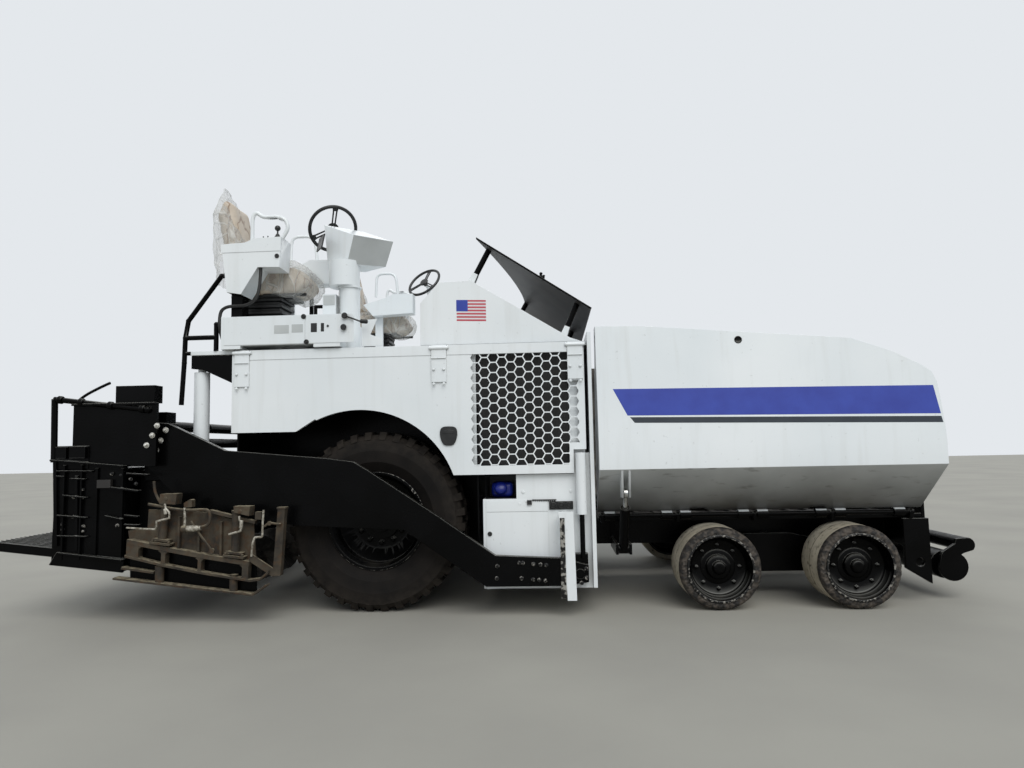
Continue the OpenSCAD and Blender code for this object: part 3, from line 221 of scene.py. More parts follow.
def edited(piece, *tools):
    """Runs mesh tools, each given with its settings, on the whole of a piece."""
    alone(piece)
    bpy.ops.object.mode_set(mode="EDIT")
    bpy.ops.mesh.select_all(action="SELECT")
    for tool, given in tools:
        tool(**given)
    bpy.ops.object.mode_set(mode="OBJECT")


def modified(piece, kind, **given):
    """Gives a piece a modifier with its settings, and applies it."""
    alone(piece)
    made = piece.modifiers.new(kind.lower(), kind)
    for key, value in given.items():
        setattr(made, key, value)
    bpy.ops.object.modifier_apply(modifier=made.name)
    return piece


def copied(source, name):
    """A copy of a piece, with a mesh of its own."""
    copy = bpy.data.objects.new(name, source.data.copy())
    scene.collection.objects.link(copy)
    return copy


def round_edges(piece, edge, smooth):
    """Rounds the edges sharper than 35 degrees and shades the piece smooth under an angle."""
    if edge:
        modified(piece, "BEVEL", width=edge, segments=2, limit_method="ANGLE",
                 angle_limit=math.radians(35), use_clamp_overlap=False)
    alone(piece)
    bpy.ops.object.shade_smooth_by_angle(angle=math.radians(smooth))
    modified(piece, "WEIGHTED_NORMAL", keep_sharp=True)


def dressed(node, slot, material, edge=0.0, smooth=45):
    """A finished copy of a frame piece: its corners merged, its flat faces joined and its
    edges rounded. It stands in for that piece and rides on the same body."""
    source = frame["nodes"][node]
    piece = copied(source, node + "_finished")
    piece.data.materials.clear()
    piece.data.materials.append(material)
    edited(piece, (bpy.ops.mesh.remove_doubles, {"threshold": 0.00005}),
           (bpy.ops.mesh.dissolve_limited, {"angle_limit": math.radians(0.2)}),
           (bpy.ops.mesh.customdata_custom_splitnormals_clear, {}))
    round_edges(piece, edge, smooth)
    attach(piece, source["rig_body"])
    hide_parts(node)
    return piece


for node, edge in (("main_frame", 0.004), ("hopper_sills", 0.003), ("auger_case", 0.004),
                   ("bogie_beams", 0.004), ("hopper_apron", 0.003),
                   ("knuckle_rear_left", 0.002), ("knuckle_rear_right", 0.002),
                   ("knuckle_front_left", 0.002), ("knuckle_front_right", 0.002),
                   ("push_roller_left", 0.006), ("push_roller_right", 0.006)):
    dressed(node, *black, edge)


# Conveyor slats, engine and auger flights: bare steel and iron scoured by hot mix, dark with
# a skin of old asphalt in the hollows and brighter where the mix rubs.
def recoated(node, material):
    """Gives a frame piece that is shown as it is another finish."""
    frame["nodes"][node].material_slots[0].material = material


scoured, spot = new_material("scoured_steel")
grit = add_node(scoured, "ShaderNodeTexNoise", Vector=spot, Scale=160, Detail=4.0)
finish_material(scoured, "#1b1a19", [("#4b4845", patches(scoured, spot, 9, 0.42, 0.6, 6.0))],
                (grit.outputs["Fac"], 0.35, 0.003), Metallic=0.55, Roughness=0.55)
for node in ("conveyors", "engine_block", "auger_left", "auger_right"):
    recoated(node, scoured)

# Drive tyres: wide earthmover tyres, the sidewalls brown with ground-in dust and the lugs
# paler where the road has scuffed them, on black welded rims with a raised bead lip.
axle_x, axle_z = -0.82, 0.665
tyre_rubber, spot = new_material("dusty_tyre_rubber")
from_axle = add_node(tyre_rubber, "ShaderNodeMapping", Vector=spot,
                     Location=(-axle_x, 0, -axle_z), Scale=(1, 0, 1))
radius_at = add_node(tyre_rubber, "ShaderNodeVectorMath", operation="LENGTH",
                     in0=from_axle.outputs[0])
outer_part = add_node(tyre_rubber, "ShaderNodeMapRange", Value=radius_at.outputs["Value"],
                      From_Min=0.50, From_Max=0.645)
scuffed = add_node(tyre_rubber, "ShaderNodeMath", operation="MULTIPLY",
                   in0=outer_part.outputs[0], in1=patches(tyre_rubber, spot, 18, 0.3, 0.6))
# Moulding rings of the sidewall, 14 mm apart
ring_turn = add_node(tyre_rubber, "ShaderNodeMath", operation="MULTIPLY",
                     in0=radius_at.outputs["Value"], in1=448.0)
rings = add_node(tyre_rubber, "ShaderNodeMath", operation="SINE", in0=ring_turn.outputs[0])
grain = add_node(tyre_rubber, "ShaderNodeTexNoise", Vector=spot, Scale=220, Detail=3.0)
height = add_node(tyre_rubber, "ShaderNodeMath", operation="MULTIPLY_ADD",
                  in0=rings.outputs[0], in1=0.25, in2=grain.outputs["Fac"])
finish_material(tyre_rubber, "#0f0d0c",
                [("#1f1b18", patches(tyre_rubber, spot, 5, 0.35, 0.7, 5.0)),
                 ("#2e2924", scuffed.outputs[0])],
                (height.outputs[0], 0.3, 0.002), Roughness=0.78, Specular_IOR_Level=0.2)

worn_lip, spot = new_material("chipped_black_enamel")
finish_material(worn_lip, "#0c0c0d", [("#8b8780", patches(worn_lip, spot, 45, 0.52, 0.6))],
                Roughness=0.35, Metallic=0.3)


def repaint(piece, material, test):
    """Gives another finish to the faces whose centre and normal pass a test."""
    piece.data.materials.append(material)
    for face in piece.data.polygons:
        if test(face.center, face.normal):
            face.material_index = len(piece.data.materials) - 1


def turned(profile, at, count=24, along=(0, -1, 0)):
    """A turned part: circles of the given radius and height joined from its foot upward."""
    width, height = profile[0]
    bpy.ops.object.select_all(action="DESELECT")
    bpy.ops.mesh.primitive_circle_add(vertices=count, radius=width, fill_type="NGON",
                                      location=(0, 0, height))
    part = bpy.context.object
    bpy.ops.object.transform_apply(location=True, rotation=True, scale=True)
    bpy.ops.object.mode_set(mode="EDIT")
    bpy.ops.mesh.select_all(action="SELECT")
    for wide, high in profile[1:]:
        bpy.ops.mesh.extrude_region_move(
            TRANSFORM_OT_translate={"value": (0, 0, high - height)})
        ratio = wide / width
        bpy.ops.transform.resize(value=(ratio, ratio, 1), center_override=(0, 0, high))
        width, height = wide, high
    bpy.ops.object.mode_set(mode="OBJECT")
    part.data.transform(Matrix.Translation(at) @ Vector(along).to_track_quat(
        "Z", "Y").to_matrix().to_4x4())
    return part


def joined(*parts):
    """Several parts joined into the first of them."""
    alone(*parts)
    bpy.ops.object.join()
    return parts[0]


def in_places(first, places):
    """A finished shape repeated at each further place, and joined into one piece."""
    made = [first]
    for shift in places:
        made.append(copied(first, "copy"))
        made[-1].data.transform(Matrix.Translation(shift))
    return joined(*made)


def at_spots(profile, y, spots, count):
    """A turned part that points to the right at each spot of x and z, as one piece."""
    (x, z), *others = spots
    return in_places(turned(profile, (x, y, z), count),
                     [(far - x, 0, high - z) for far, high in others])


def ring(x, z, radius, count):
    """Spots spaced evenly round a circle."""
    return [(x + radius * math.cos(a), z + radius * math.sin(a))
            for a in [math.tau * i / count for i in range(count)]]


def finish_pair(piece, name, body, slot, material, edge=0.0, smooth=40, shift=0.0,
                node=None):
    """Finishes a new right-hand piece and makes its mirrored twin for the left side. A name
    of a body or node with {} is the one of that side, and shift moves the twin forward."""
    alone(piece)
    bpy.ops.object.transform_apply(location=True, rotation=True, scale=True)
    edited(piece, (bpy.ops.mesh.remove_doubles, {"threshold": 0.00002}),
           (bpy.ops.mesh.normals_make_consistent, {"inside": False}))
    piece.name = name + "_right"
    if not piece.data.materials:
        piece.data.materials.append(material)
    twin = copied(piece, name + "_left")
    twin.data.transform(Matrix.Translation((shift, 0, 0)) @ Matrix.Scale(-1, 4, (0, 1, 0)))
    twin.data.flip_normals()
    for one, side in ((piece, "right"), (twin, "left")):
        round_edges(one, edge, smooth)
        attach(one, body.format(side))
        if node:
            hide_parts(node.format(side))
    return piece, twin


lip_radius, nut_circle = 0.35, 0.18
for side in ("left", "right"):
    recoated("drive_tyre_" + side, tyre_rubber)
    rim = dressed("drive_rim_" + side, *black, 0.003)
    repaint(rim, worn_lip, lambda c, n: math.hypot(c.x - axle_x, c.z - axle_z) > lip_radius)
dressed("drive_axle", *black)
nuts = at_spots([(0.026, 0), (0.026, 0.006), (0.019, 0.008), (0.019, 0.026), (0.012, 0.032)],
                -1.103, ring(axle_x, axle_z, nut_circle, 12), 6)
finish_pair(nuts, "drive_wheel_nuts", "drive_wheel_{}", *black)

# Front wheels: solid rubber bands pressed on steel rims. The tread is dusty khaki with a thin
# seam where two bands meet, its outer shoulder torn and dark, and the deep rim glossy black.
seam_y = 1.155
band_rubber, spot = new_material("dusty_solid_rubber")
across = add_node(band_rubber, "ShaderNodeSeparateXYZ", Vector=spot)
sideways = add_node(band_rubber, "ShaderNodeMath", operation="ABSOLUTE",
                    in0=across.outputs["Y"])
seam = add_node(band_rubber, "ShaderNodeMath", operation="COMPARE",
                in0=sideways.outputs[0], in1=seam_y, in2=0.0035)
grain = add_node(band_rubber, "ShaderNodeTexNoise", Vector=spot, Scale=120, Detail=5.0)
finish_material(band_rubber, "#a89f8c",
                [("#c6bca8", patches(band_rubber, spot, 7, 0.3, 0.7, 5.0)),
                 ("#4e473d", patches(band_rubber, spot, 26, 0.55, 0.75)),
                 ("#241f19", seam.outputs[0])],
                (grain.outputs["Fac"], 0.3, 0.003), Roughness=0.88)

torn_rubber, spot = new_material("torn_rubber")
tears = add_node(torn_rubber, "ShaderNodeTexVoronoi", Vector=spot, Scale=42)
finish_material(torn_rubber, "#14110f",
                [("#4d453d", patches(torn_rubber, spot, 30, 0.42, 0.64, 6.0))],
                (tears.outputs["Distance"], 0.9, 0.008), Roughness=0.7)

# Each wheel is turned from its middle web out over the tread and back into the deep rim
wheel_profile = [(0.07, 0.165), (0.19, 0.175), (0.222, 0.012), (0.238, 0.0), (0.274, 0.0),
                 (0.2945, 0.022), (0.2948, 0.10), (0.2948, 0.24), (0.2945, 0.338),
                 (0.2925, 0.352), (0.289, 0.362), (0.281, 0.372), (0.270, 0.378),
                 (0.256, 0.379), (0.242, 0.377), (0.240, 0.384), (0.232, 0.387),
                 (0.225, 0.384), (0.221, 0.370), (0.211, 0.352), (0.206, 0.30),
                 (0.188, 0.276), (0.125, 0.266), (0.120, 0.272), (0.090, 0.274),
                 (0.085, 0.300), (0.078, 0.307), (0.050, 0.312), (0.045, 0.326),
                 (0.038, 0.334), (0.020, 0.338)]
wheel_z, rim_radius, shoulder_y, stud_circle = 0.295, 0.2415, -1.31, 0.155
for axle, x in (("rear", 1.69), ("front", 2.67)):
    wheel = turned(wheel_profile, (x, -0.97, wheel_z), 96)
    for corner in wheel.data.vertices:
        out = Vector((corner.co.x - x, 0, corner.co.z - wheel_z))
        if corner.co.y < shoulder_y and out.length > 0.25:
            torn = noise.noise(corner.co * 55) + 0.6 * noise.noise(corner.co * 140)
            corner.co += out.normalized() * min(0.0, 0.009 * torn - 0.001)
            corner.co.y += max(0.0, 0.006 * torn)
    wheel.data.materials.append(band_rubber)
    repaint(wheel, black_enamel, lambda c, n: math.hypot(c.x - x, c.z - wheel_z) < rim_radius)
    repaint(wheel, worn_lip, lambda c, n: c.y < -1.345
            and 0.224 < math.hypot(c.x - x, c.z - wheel_z) < 0.2405)
    repaint(wheel, torn_rubber, lambda c, n: c.y < shoulder_y - 0.002
            and math.hypot(c.x - x, c.z - wheel_z) > rim_radius)
    body = "front_wheel_" + axle + "_{}"
    finish_pair(wheel, "wheel_" + axle, body, "solid_rubber", band_rubber, smooth=50,
                node=body)
    studs = at_spots([(0.017, 0), (0.017, 0.004), (0.012, 0.005), (0.012, 0.022),
                      (0.007, 0.026)], -1.241, ring(x, wheel_z, stud_circle, 8), 6)
    finish_pair(studs, "wheel_studs_" + axle, body, *black)

# Body shell, deck, cowl, cabinets and doors: sheet steel, folded and welded, sprayed with white
# two-pack enamel. It is clean and even, with a soft shine and faint upright smears from washing,
# and grey painted shade darkens it in corners and where panels meet.
white_enamel, spot = new_material("white_two_pack_enamel")
upright = add_node(white_enamel, "ShaderNodeMapping", Vector=spot, Scale=(7, 7, 0.5))
# Painted shade: ambient occlusion greys the paint in corners and where panels meet
corners = add_node(white_enamel, "ShaderNodeAmbientOcclusion", samples=4, Distance=0.05)
painted_corner_shade = add_node(white_enamel, "ShaderNodeMapRange", Value=corners.outputs["AO"],
                 From_Min=0.25, From_Max=0.8, To_Min=0.45, To_Max=0.0)
# Orange peel of sprayed paint, drawn at 8 mm so that it shows, over slow waves in the sheet
peel = add_node(white_enamel, "ShaderNodeTexNoise", Vector=spot, Scale=120, Detail=1.0)
waves = add_node(white_enamel, "ShaderNodeTexNoise", Vector=spot, Scale=2.2, Detail=1.0)
height = add_node(white_enamel, "ShaderNodeMath", operation="MULTIPLY_ADD",
                  in0=waves.outputs["Fac"], in1=14.0, in2=peel.outputs["Fac"])
finish_material(white_enamel, "#e3e8ea",
                [("#eef1f2", patches(white_enamel, spot, 0.9, 0.35, 0.65, 3.0)),
                 ("#c9c9c4", patches(white_enamel, upright.outputs[0], 2.2, 0.52, 0.8, 5.0,
                                     0.25)),
                 ("#8d8a84", patches(white_enamel, spot, 38, 0.70, 0.77, 2.0, 0.22)),
                 ("#8a877f", painted_corner_shade.outputs[0])],
                (height.outputs[0], 0.12, 0.0015), Roughness=0.3, Coat_Weight=0.3,
                Coat_Roughness=0.1)
white = ("white_paint", white_enamel)

black_plastic, spot = new_material("moulded_black_plastic")
pebble = add_node(black_plastic, "ShaderNodeTexVoronoi", Vector=spot, Scale=420)
finish_material(black_plastic, "#131415",
                [("#232323", patches(black_plastic, spot, 20, 0.4, 0.7))],
                (pebble.outputs["Distance"], 0.2, 0.001), Roughness=0.42)
black_trim = ("black_paint", black_plastic)

for node in ("body_shell", "cowl", "side_cabinet_left", "side_cabinet_right",
             "side_door_left", "side_door_right", "deck"):
    piece = dressed(node, *white, 0.0 if "door" in node else 0.002)
    if node == "body_shell":
        # Wheel housings, sprayed black with the chassis
        repaint(piece, black_enamel, lambda c, n: c.x < -0.02 and c.z < 1.9
                and 0.5 < abs(c.y) < 1.432)
    if "cabinet" in node:
        # Black lamp sockets on their strip
        repaint(piece, black_plastic, lambda c, n: 0.47 < c.x < 0.65 and abs(c.y) > 1.381
                and 0.74 < c.z < 0.80)


def boxed(low, high):
    """A block between two corners."""
    bpy.ops.object.select_all(action="DESELECT")
    bpy.ops.mesh.primitive_cube_add(size=1, location=[(a + b) / 2 for a, b in zip(low, high)])
    block = bpy.context.object
    block.scale = [b - a for a, b in zip(low, high)]
    bpy.ops.object.transform_apply(location=True, rotation=True, scale=True)
    return block


def cut_plate(outline, y, thick):
    """A plate cut to an outline of x and z, from y inwards by its thickness."""
    bpy.ops.object.select_all(action="DESELECT")
    bpy.ops.mesh.primitive_circle_add(vertices=len(outline), radius=1, fill_type="NGON")
    plate = bpy.context.object
    for corner, (x, z) in zip(plate.data.vertices, outline):
        corner.co = (x, y, z)
    edited(plate, (bpy.ops.mesh.extrude_region_move,
                   {"TRANSFORM_OT_translate": {"value": (0, thick, 0)}}))
    return plate


def panel(low, high, y, thick):
    """An upright rectangular plate between two corners of x and z."""
    return cut_plate([low, (high[0], low[1]), high, (low[0], high[1])], y, thick)


def dished(piece, rim, depth):
    """Insets the faces that look to the right by a rim, and moves them inwards."""
    alone(piece)
    for face in piece.data.polygons:
        face.select = face.normal.y < -0.9
    bpy.ops.object.mode_set(mode="EDIT")
    bpy.ops.mesh.select_mode(type="FACE")
    bpy.ops.mesh.inset(thickness=rim, depth=0.0)
    bpy.ops.transform.translate(value=(0, depth, 0))
    bpy.ops.object.mode_set(mode="OBJECT")
    return piece


def cut_from(piece, cutter):
    """Cuts a shape out of a piece, and takes the shape away."""
    for solid in (cutter, piece):
        edited(solid, (bpy.ops.mesh.normals_make_consistent, {"inside": False}))
    modified(piece, "BOOLEAN", object=cutter, operation="DIFFERENCE", solver="EXACT")
    bpy.data.objects.remove(cutter)


# Honeycomb grilles: a thin white sheet of pressed hexagons 67 mm across, clipped by the edges
# of an opening that steps round the hinge strap and the notch. The opening is cut in the door.
opening = [(-0.084, 1.063), (0.630, 1.063), (0.630, 1.220), (0.705, 1.220), (0.705, 1.672),
           (0.630, 1.672), (0.630, 1.885), (-0.084, 1.885)]
cell, pitch, column_step, cut_depth = 0.067, 0.075, 0.065, 0.10
first_x, first_z = -0.0453, 1.1065
for side, inner in (("right", -1.45), ("left", 1.35)):
    door = bpy.data.objects["side_door_" + side + "_finished"]
    cut_from(door, cut_plate(opening, inner, cut_depth))
    edited(door, (bpy.ops.mesh.customdata_custom_splitnormals_clear, {}))
    round_edges(door, 0.0, 45)
cells = joined(*[cut_plate(ring(first_x + column_step * column,
                                first_z + pitch * (row + column % 2 / 2),
                                cell / math.sqrt(3), 6), -1.45, cut_depth)
                 for column in range(12) for row in range(-1, 11)])
honeycomb = cut_plate(opening, -1.4195, 0.010)
cut_from(honeycomb, cells)
door = "side_door_{}"
finish_pair(honeycomb, "door_honeycomb", door, *white)

# Side doors: each hangs from three hinge straps with a rolled knuckle, and its skin has a
# pressed fold along the top and a recessed paddle latch ahead of the wheel arch.
skin = -1.4205
hinges = (0, 1.484, 2.486)
fold = joined(*[panel((a, 1.883), (b, 1.957), skin - 0.0035, 0.004)
                for a, b in ((-1.742, -0.374), (-0.258, 0.628))])
finish_pair(fold, "door_top_fold", door, *white, 0.0015)
knuckle = joined(*[turned(profile, (-1.867, -1.430, 1.936), count, (1, 0, 0))
                   for profile, count in (
                       ([(0.0125, 0), (0.0135, 0.002), (0.0135, 0.132), (0.0125, 0.134)], 20),
                       ([(0.006, -0.008), (0.009, -0.006), (0.009, 0.14), (0.006, 0.142)], 12))])
crease = turned([(0.004, 0), (0.004, 0.106)], (-1.853, -1.4372, 1.86), 12, (1, 0, 0))
for name, roll in (("door_hinge_knuckles", knuckle), ("hinge_plate_creases", crease)):
    finish_pair(in_places(roll, [(x, 0, 0) for x in hinges[1:]]), name, door, *white)
bolts = at_spots([(0.012, 0), (0.012, 0.002), (0.0085, 0.0025), (0.0085, 0.008),
                  (0.006, 0.0095)], -1.4365,
                 [(-1.837 + x + row, 1.777 + z) for x in hinges
                  for row, z in ((0, 0), (0.074, 0), (0, -0.108), (0.074, -0.108))], 6)
finish_pair(bolts, "hinge_plate_bolts", door, *white)
outline = []
for step in range(40):
    a = math.tau * step / 40
    wide = abs(math.cos(a)) ** 0.55 * math.copysign(0.064, math.cos(a))
    tall = abs(math.sin(a)) ** 0.6 * (0.062 if math.sin(a) > 0 else -0.078)
    outline.append((-0.25 + wide * (1 - 0.25 * max(0, -tall / 0.078)), 1.293 + tall))
latch = dished(cut_plate(outline, skin - 0.010, 0.010), 0.009, 0.006)
paddle = cut_plate([(-0.292, 1.300), (-0.212, 1.300), (-0.206, 1.322), (-0.252, 1.334),
                    (-0.298, 1.322)], skin - 0.012, 0.010)
ridge = cut_plate([(-0.29, 1.264), (-0.212, 1.264), (-0.22, 1.252), (-0.282, 1.252)],
                  skin - 0.009, 0.006)
finish_pair(joined(latch, paddle, ridge), "door_latch", door, *black_trim, 0.003)

# Radiator core behind the honeycomb, dark fins 6 mm apart, in a pale folded surround whose
# edge shows through the first and the last column of holes.
core_fins, spot = new_material("dark_radiator_fins")
fins = add_node(core_fins, "ShaderNodeTexWave", Vector=spot, Scale=26, bands_direction="X")
finish_material(core_fins, "#050505", [("#161615", fins.outputs["Fac"])],
                (fins.outputs["Fac"], 0.5, 0.003), Roughness=0.6)
core = boxed((-0.046, -1.352, 1.03), (0.632, -1.335, 1.90))
finish_pair(core, "radiator_core", "tractor", "black_paint", core_fins, 0.003)
surround = joined(boxed((-0.11, -1.366, 1.03), (-0.05, -1.350, 1.90)),
                  boxed((0.636, -1.366, 1.03), (0.745, -1.350, 1.90)))
finish_pair(surround, "radiator_surround", "tractor", *white, 0.002)

# Side cabinets: a locker with a lift-up door and a header strip, hung on a hidden hinge, with a
# small square catch, a round lock, a row of three black lamp sockets and an open bay above,
# darkened inside by a black box as painted shade.
face = -1.3805
locker = joined(panel((0.013, 0.196), (0.462, 0.7235), face - 0.0035, 0.004),
                panel((0.013, 0.7275), (0.462, 0.806), face - 0.0035, 0.004))
finish_pair(locker, "locker_door", "tractor", *white, 0.0012)
catch = dished(boxed((0.312, face - 0.014, 0.774), (0.346, face - 0.003, 0.808)),
               0.005, 0.004)
lock = turned([(0.0165, 0), (0.0165, 0.006), (0.011, 0.007), (0.011, 0.004)],
              (0.037, face - 0.0035, 0.57))
hinge = in_places(panel((0.352, 0.801), (0.362, 0.813), face - 0.009, 0.006),
                  [(0.0155 * i, 0, -0.0005 * i) for i in range(1, 11)])
strip = boxed((0.348, face - 0.007, 0.806), (0.525, face - 0.0035, 0.812))
finish_pair(joined(catch, lock, hinge, strip), "locker_catches", "tractor", *black_trim, 0.001)
lamp_strip = boxed((0.472, face - 0.006, 0.738), (0.645, face - 0.0005, 0.797))
sockets = at_spots([(0.025, 0), (0.025, 0.013), (0.02, 0.015), (0.018, 0.009),
                    (0.012, 0.009), (0.010, 0.013)], face - 0.005,
                   [(x, 0.768) for x in (0.5, 0.558, 0.616)], 28)
finish_pair(joined(lamp_strip, sockets), "lamp_sockets", "tractor", *black_trim, 0.001)
screws = at_spots([(0.011, 0), (0.011, 0.004), (0.007, 0.006)], face,
                  [(0.285, 0.868), (0.63, 0.870), (0.258, 0.783), (0.305, 0.802)], 16)
finish_pair(screws, "bay_screws", "tractor", *white)
# Painted shade: a black open box set in the bay darkens its inside
bay_shade_box = dished(boxed((0.012, -1.372, 0.823), (0.238, -1.06, 0.991)), 0.003, 0.3)
finish_pair(bay_shade_box, "bay_painted_shade_box", "tractor", *black_trim)
sill = joined(boxed((0.01, face - 0.018, 0.1805), (0.54, face, 0.185)),
              boxed((0.01, face - 0.018, 0.1805), (0.54, face - 0.015, 0.200)))
finish_pair(sill, "locker_sill", "tractor", *white, 0.001)

# Filler tank in the right-hand bay: blue polyethylene, blown in one piece, with a domed cap.
blue_polymer, spot = new_material("blue_polyethylene")
finish_material(blue_polymer, "#0a1a6e",
                [("#16298c", patches(blue_polymer, spot, 12, 0.35, 0.65))],
                Roughness=0.35, Subsurface_Weight=0.08,
                Subsurface_Radius=(0.004, 0.004, 0.01))


def finish_single(piece, name, node, slot, material):
    """Names a piece that is there once, on the tractor, in place of a frame piece."""
    piece.name = name
    piece.data.materials.clear()
    piece.data.materials.append(material)
    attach(piece, "tractor")
    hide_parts(node)


tank = boxed((0.045, -1.30, 0.826), (0.205, -1.01, 0.938))
round_edges(tank, 0.03, 60)
dome = turned([(0.042, 0), (0.047, 0.006), (0.047, 0.03), (0.040, 0.045), (0.022, 0.055)],
              (0.118, -1.31, 0.885), 32, (0, -0.85, 0.5))
tank = joined(tank, dome)
alone(tank)
bpy.ops.object.shade_smooth_by_angle(angle=math.radians(50))
finish_single(tank, "filler_tank", "fluid_tank", "blue_plastic", blue_polymer)

# Hood sticker: printed vinyl film, cut square and stuck on with no words, plain stripes beside
# a plain corner. Every film is thin enough to follow the paint under it.
def film_material(name, code, second):
    """Printed vinyl film of one ink, a little uneven where it was pressed down."""
    film, place = new_material(name)
    pressed = add_node(film, "ShaderNodeTexNoise", Vector=place, Scale=60, Detail=2.0)
    return finish_material(film, code, [(second, patches(film, place, 6, 0.35, 0.65))],
                           (pressed.outputs["Fac"], 0.05, 0.001), Roughness=0.32)


blue_film = film_material("blue_vinyl_film", "#2c3d9c", "#3347a8")
dark_film = film_material("dark_vinyl_film", "#232a33", "#2d343c")
red_film = film_material("red_vinyl_film", "#b8424d", "#c4505a")
pale_film = film_material("pale_vinyl_film", "#e4e3e4", "#dcdadd")
hood_y = -1.3773
film = cut_plate([(-0.188, 2.301), (0.037, 2.294), (0.034, 2.135), (-0.183, 2.142)], hood_y,
                 0.0006)
film.data.materials.append(pale_film)
foot_z, stripe_step, stripe_wide, tilt = 2.1345, 0.0245, 0.0125, 0.0075
stripes = []
for row in range(7):
    low = foot_z + stripe_step * row
    high = low + stripe_wide
    stripes.append(cut_plate([(-0.185, low + tilt), (0.035, low), (0.035, high),
                              (-0.185, high + tilt)], hood_y - 0.0003, 0.0006))
    stripes[-1].data.materials.append(red_film)
corner = cut_plate([(-0.187, 2.215), (-0.101, 2.212), (-0.101, 2.299), (-0.187, 2.301)],
                   hood_y - 0.0006, 0.0008)
corner.data.materials.append(blue_film)
finish_pair(joined(film, *stripes, corner), "hood_sticker", "tractor", "white_paint",
            pale_film)

# Material deflector: a folded sheet on round posts, sprayed satin black and dusty beneath,
# where spread mix has greyed it.
satin_black, spot = new_material("satin_black_enamel")
ripple = add_node(satin_black, "ShaderNodeTexNoise", Vector=spot, Scale=14, Detail=4.0)
finish_material(satin_black, "#211f1d",
                [("#37332f", patches(satin_black, spot, 3.2, 0.4, 0.68, 6.0))],
                (ripple.outputs["Fac"], 0.2, 0.004), Roughness=0.5)
piece = dressed("deflector", *black, 0.002)
repaint(piece, satin_black, lambda c, n: n.z < -0.4 and n.x < 0)
catch = joined(boxed((0.43, -0.53, 2.655), (0.475, -0.47, 2.668)),
               turned([(0.012, 0), (0.012, 0.04), (0.016, 0.044), (0.010, 0.055)],
                      (0.440, -0.50, 2.650), 12, (0.1, 0, 1)),
               turned([(0.010, 0), (0.010, 0.03), (0.014, 0.034), (0.008, 0.042)],
                      (0.465, -0.50, 2.640), 12, (0.1, 0, 1)))
finish_pair(catch, "deflector_catch", "tractor", *black, 0.002)

# Hand rails: bent steel tube, black. The consoles' wiring runs in a ribbed black sleeve that
# leaves the console, sags past the station's base and goes down to the deck.
dressed("hand_rails", *black, 0.0, 60)


def pipe(points, radius, bends=3, y=0.0):
    """A pipe or rod along a smooth line through points, made as a curve and then a mesh. A
    point of two numbers is an x and a z, in the upright plane at y."""
    curve = bpy.data.curves.new("pipe", "CURVE")
    curve.dimensions = "3D"
    curve.bevel_depth = radius
    curve.bevel_resolution = 2
    curve.resolution_u = 6
    curve.use_fill_caps = True
    line = curve.splines.new("NURBS")
    line.points.add(len(points) - 1)
    for point, place in zip(line.points, points):
        point.co = (*place, 1) if len(place) == 3 else (place[0], y, place[1], 1)
    line.use_endpoint_u = True
    line.order_u = bends
    drawn = bpy.data.objects.new("pipe", curve)
    scene.collection.objects.link(drawn)
    alone(drawn)
    bpy.ops.object.convert(target="MESH")
    return bpy.context.object


station_shift = 0.4


def finish_on_stations(piece, name, slot, material, edge=0.0, smooth=40, **given):
    """Finishes a piece of the right station and its twin on the left one, further forward."""
    return finish_pair(piece, name, "tractor", slot, material, edge, smooth, station_shift,
                       **given)


sleeve, spot = new_material("ribbed_black_rubber")
ribs = add_node(sleeve, "ShaderNodeTexWave", Vector=spot, Scale=40, bands_direction="Z")
finish_material(sleeve, "#0c0c0c", [("#1b1a19", ribs.outputs["Fac"])],
                (ribs.outputs["Fac"], 0.5, 0.002), Roughness=0.5)
route = [(-1.665, 0, 2.5835), (-1.670, 0, 2.50), (-1.674, 0, 2.44), (-1.69, 0, 2.37),
         (-1.725, 0, 2.325), (-1.78, 0, 2.30), (-1.84, 0, 2.298), (-1.915, 0, 2.297),
         (-1.962, 0, 2.275), (-1.978, 0, 2.235), (-1.982, 0, 2.155), (-1.981, 0.03, 2.085),
         (-1.980, 0.075, 2.03), (-1.980, 0.08, 2.0), (-1.980, 0.08, 1.9655)]
wiring = pipe([(x, -1.42 + y, z) for x, y, z in route], 0.013)
wiring, _ = finish_on_stations(wiring, "console_wiring", "hose_rubber", sleeve)
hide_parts("console_hoses")

# Operator stations: each a welded sheet-steel base with lift-off covers, an outer and an inner
# console, and a steering column with its pod. The outer face carries two quarter-turn catches,
# two shallow recesses drawn as grey plates whose grey is painted shade, two openings drawn as
# black plates that stand in for their shaded insides, two black knobs and a short lever.
# Painted shade for shallow recesses in the stations' faces
recess_shade_grey, spot = new_material("recess_painted_shade_grey")
finish_material(recess_shade_grey, "#b3b7b7", [("#c2c5c4", patches(recess_shade_grey, spot, 5, 0.35, 0.65))],
                Roughness=0.4)
# Painted shade for the pod's downward front face
pod_shade_grey, spot = new_material("pod_face_painted_shade")
finish_material(pod_shade_grey, "#a1a4a3", [("#adb0af", patches(pod_shade_grey, spot, 4, 0.35, 0.65))],
                Roughness=0.5)


def faces_cut(piece, test):
    """Deletes the faces whose centre passes a test."""
    alone(piece)
    for face in piece.data.polygons:
        face.select = test(face.center)
    bpy.ops.object.mode_set(mode="EDIT")
    bpy.ops.mesh.select_mode(type="FACE")
    bpy.ops.mesh.delete(type="FACE")
    bpy.ops.object.mode_set(mode="OBJECT")


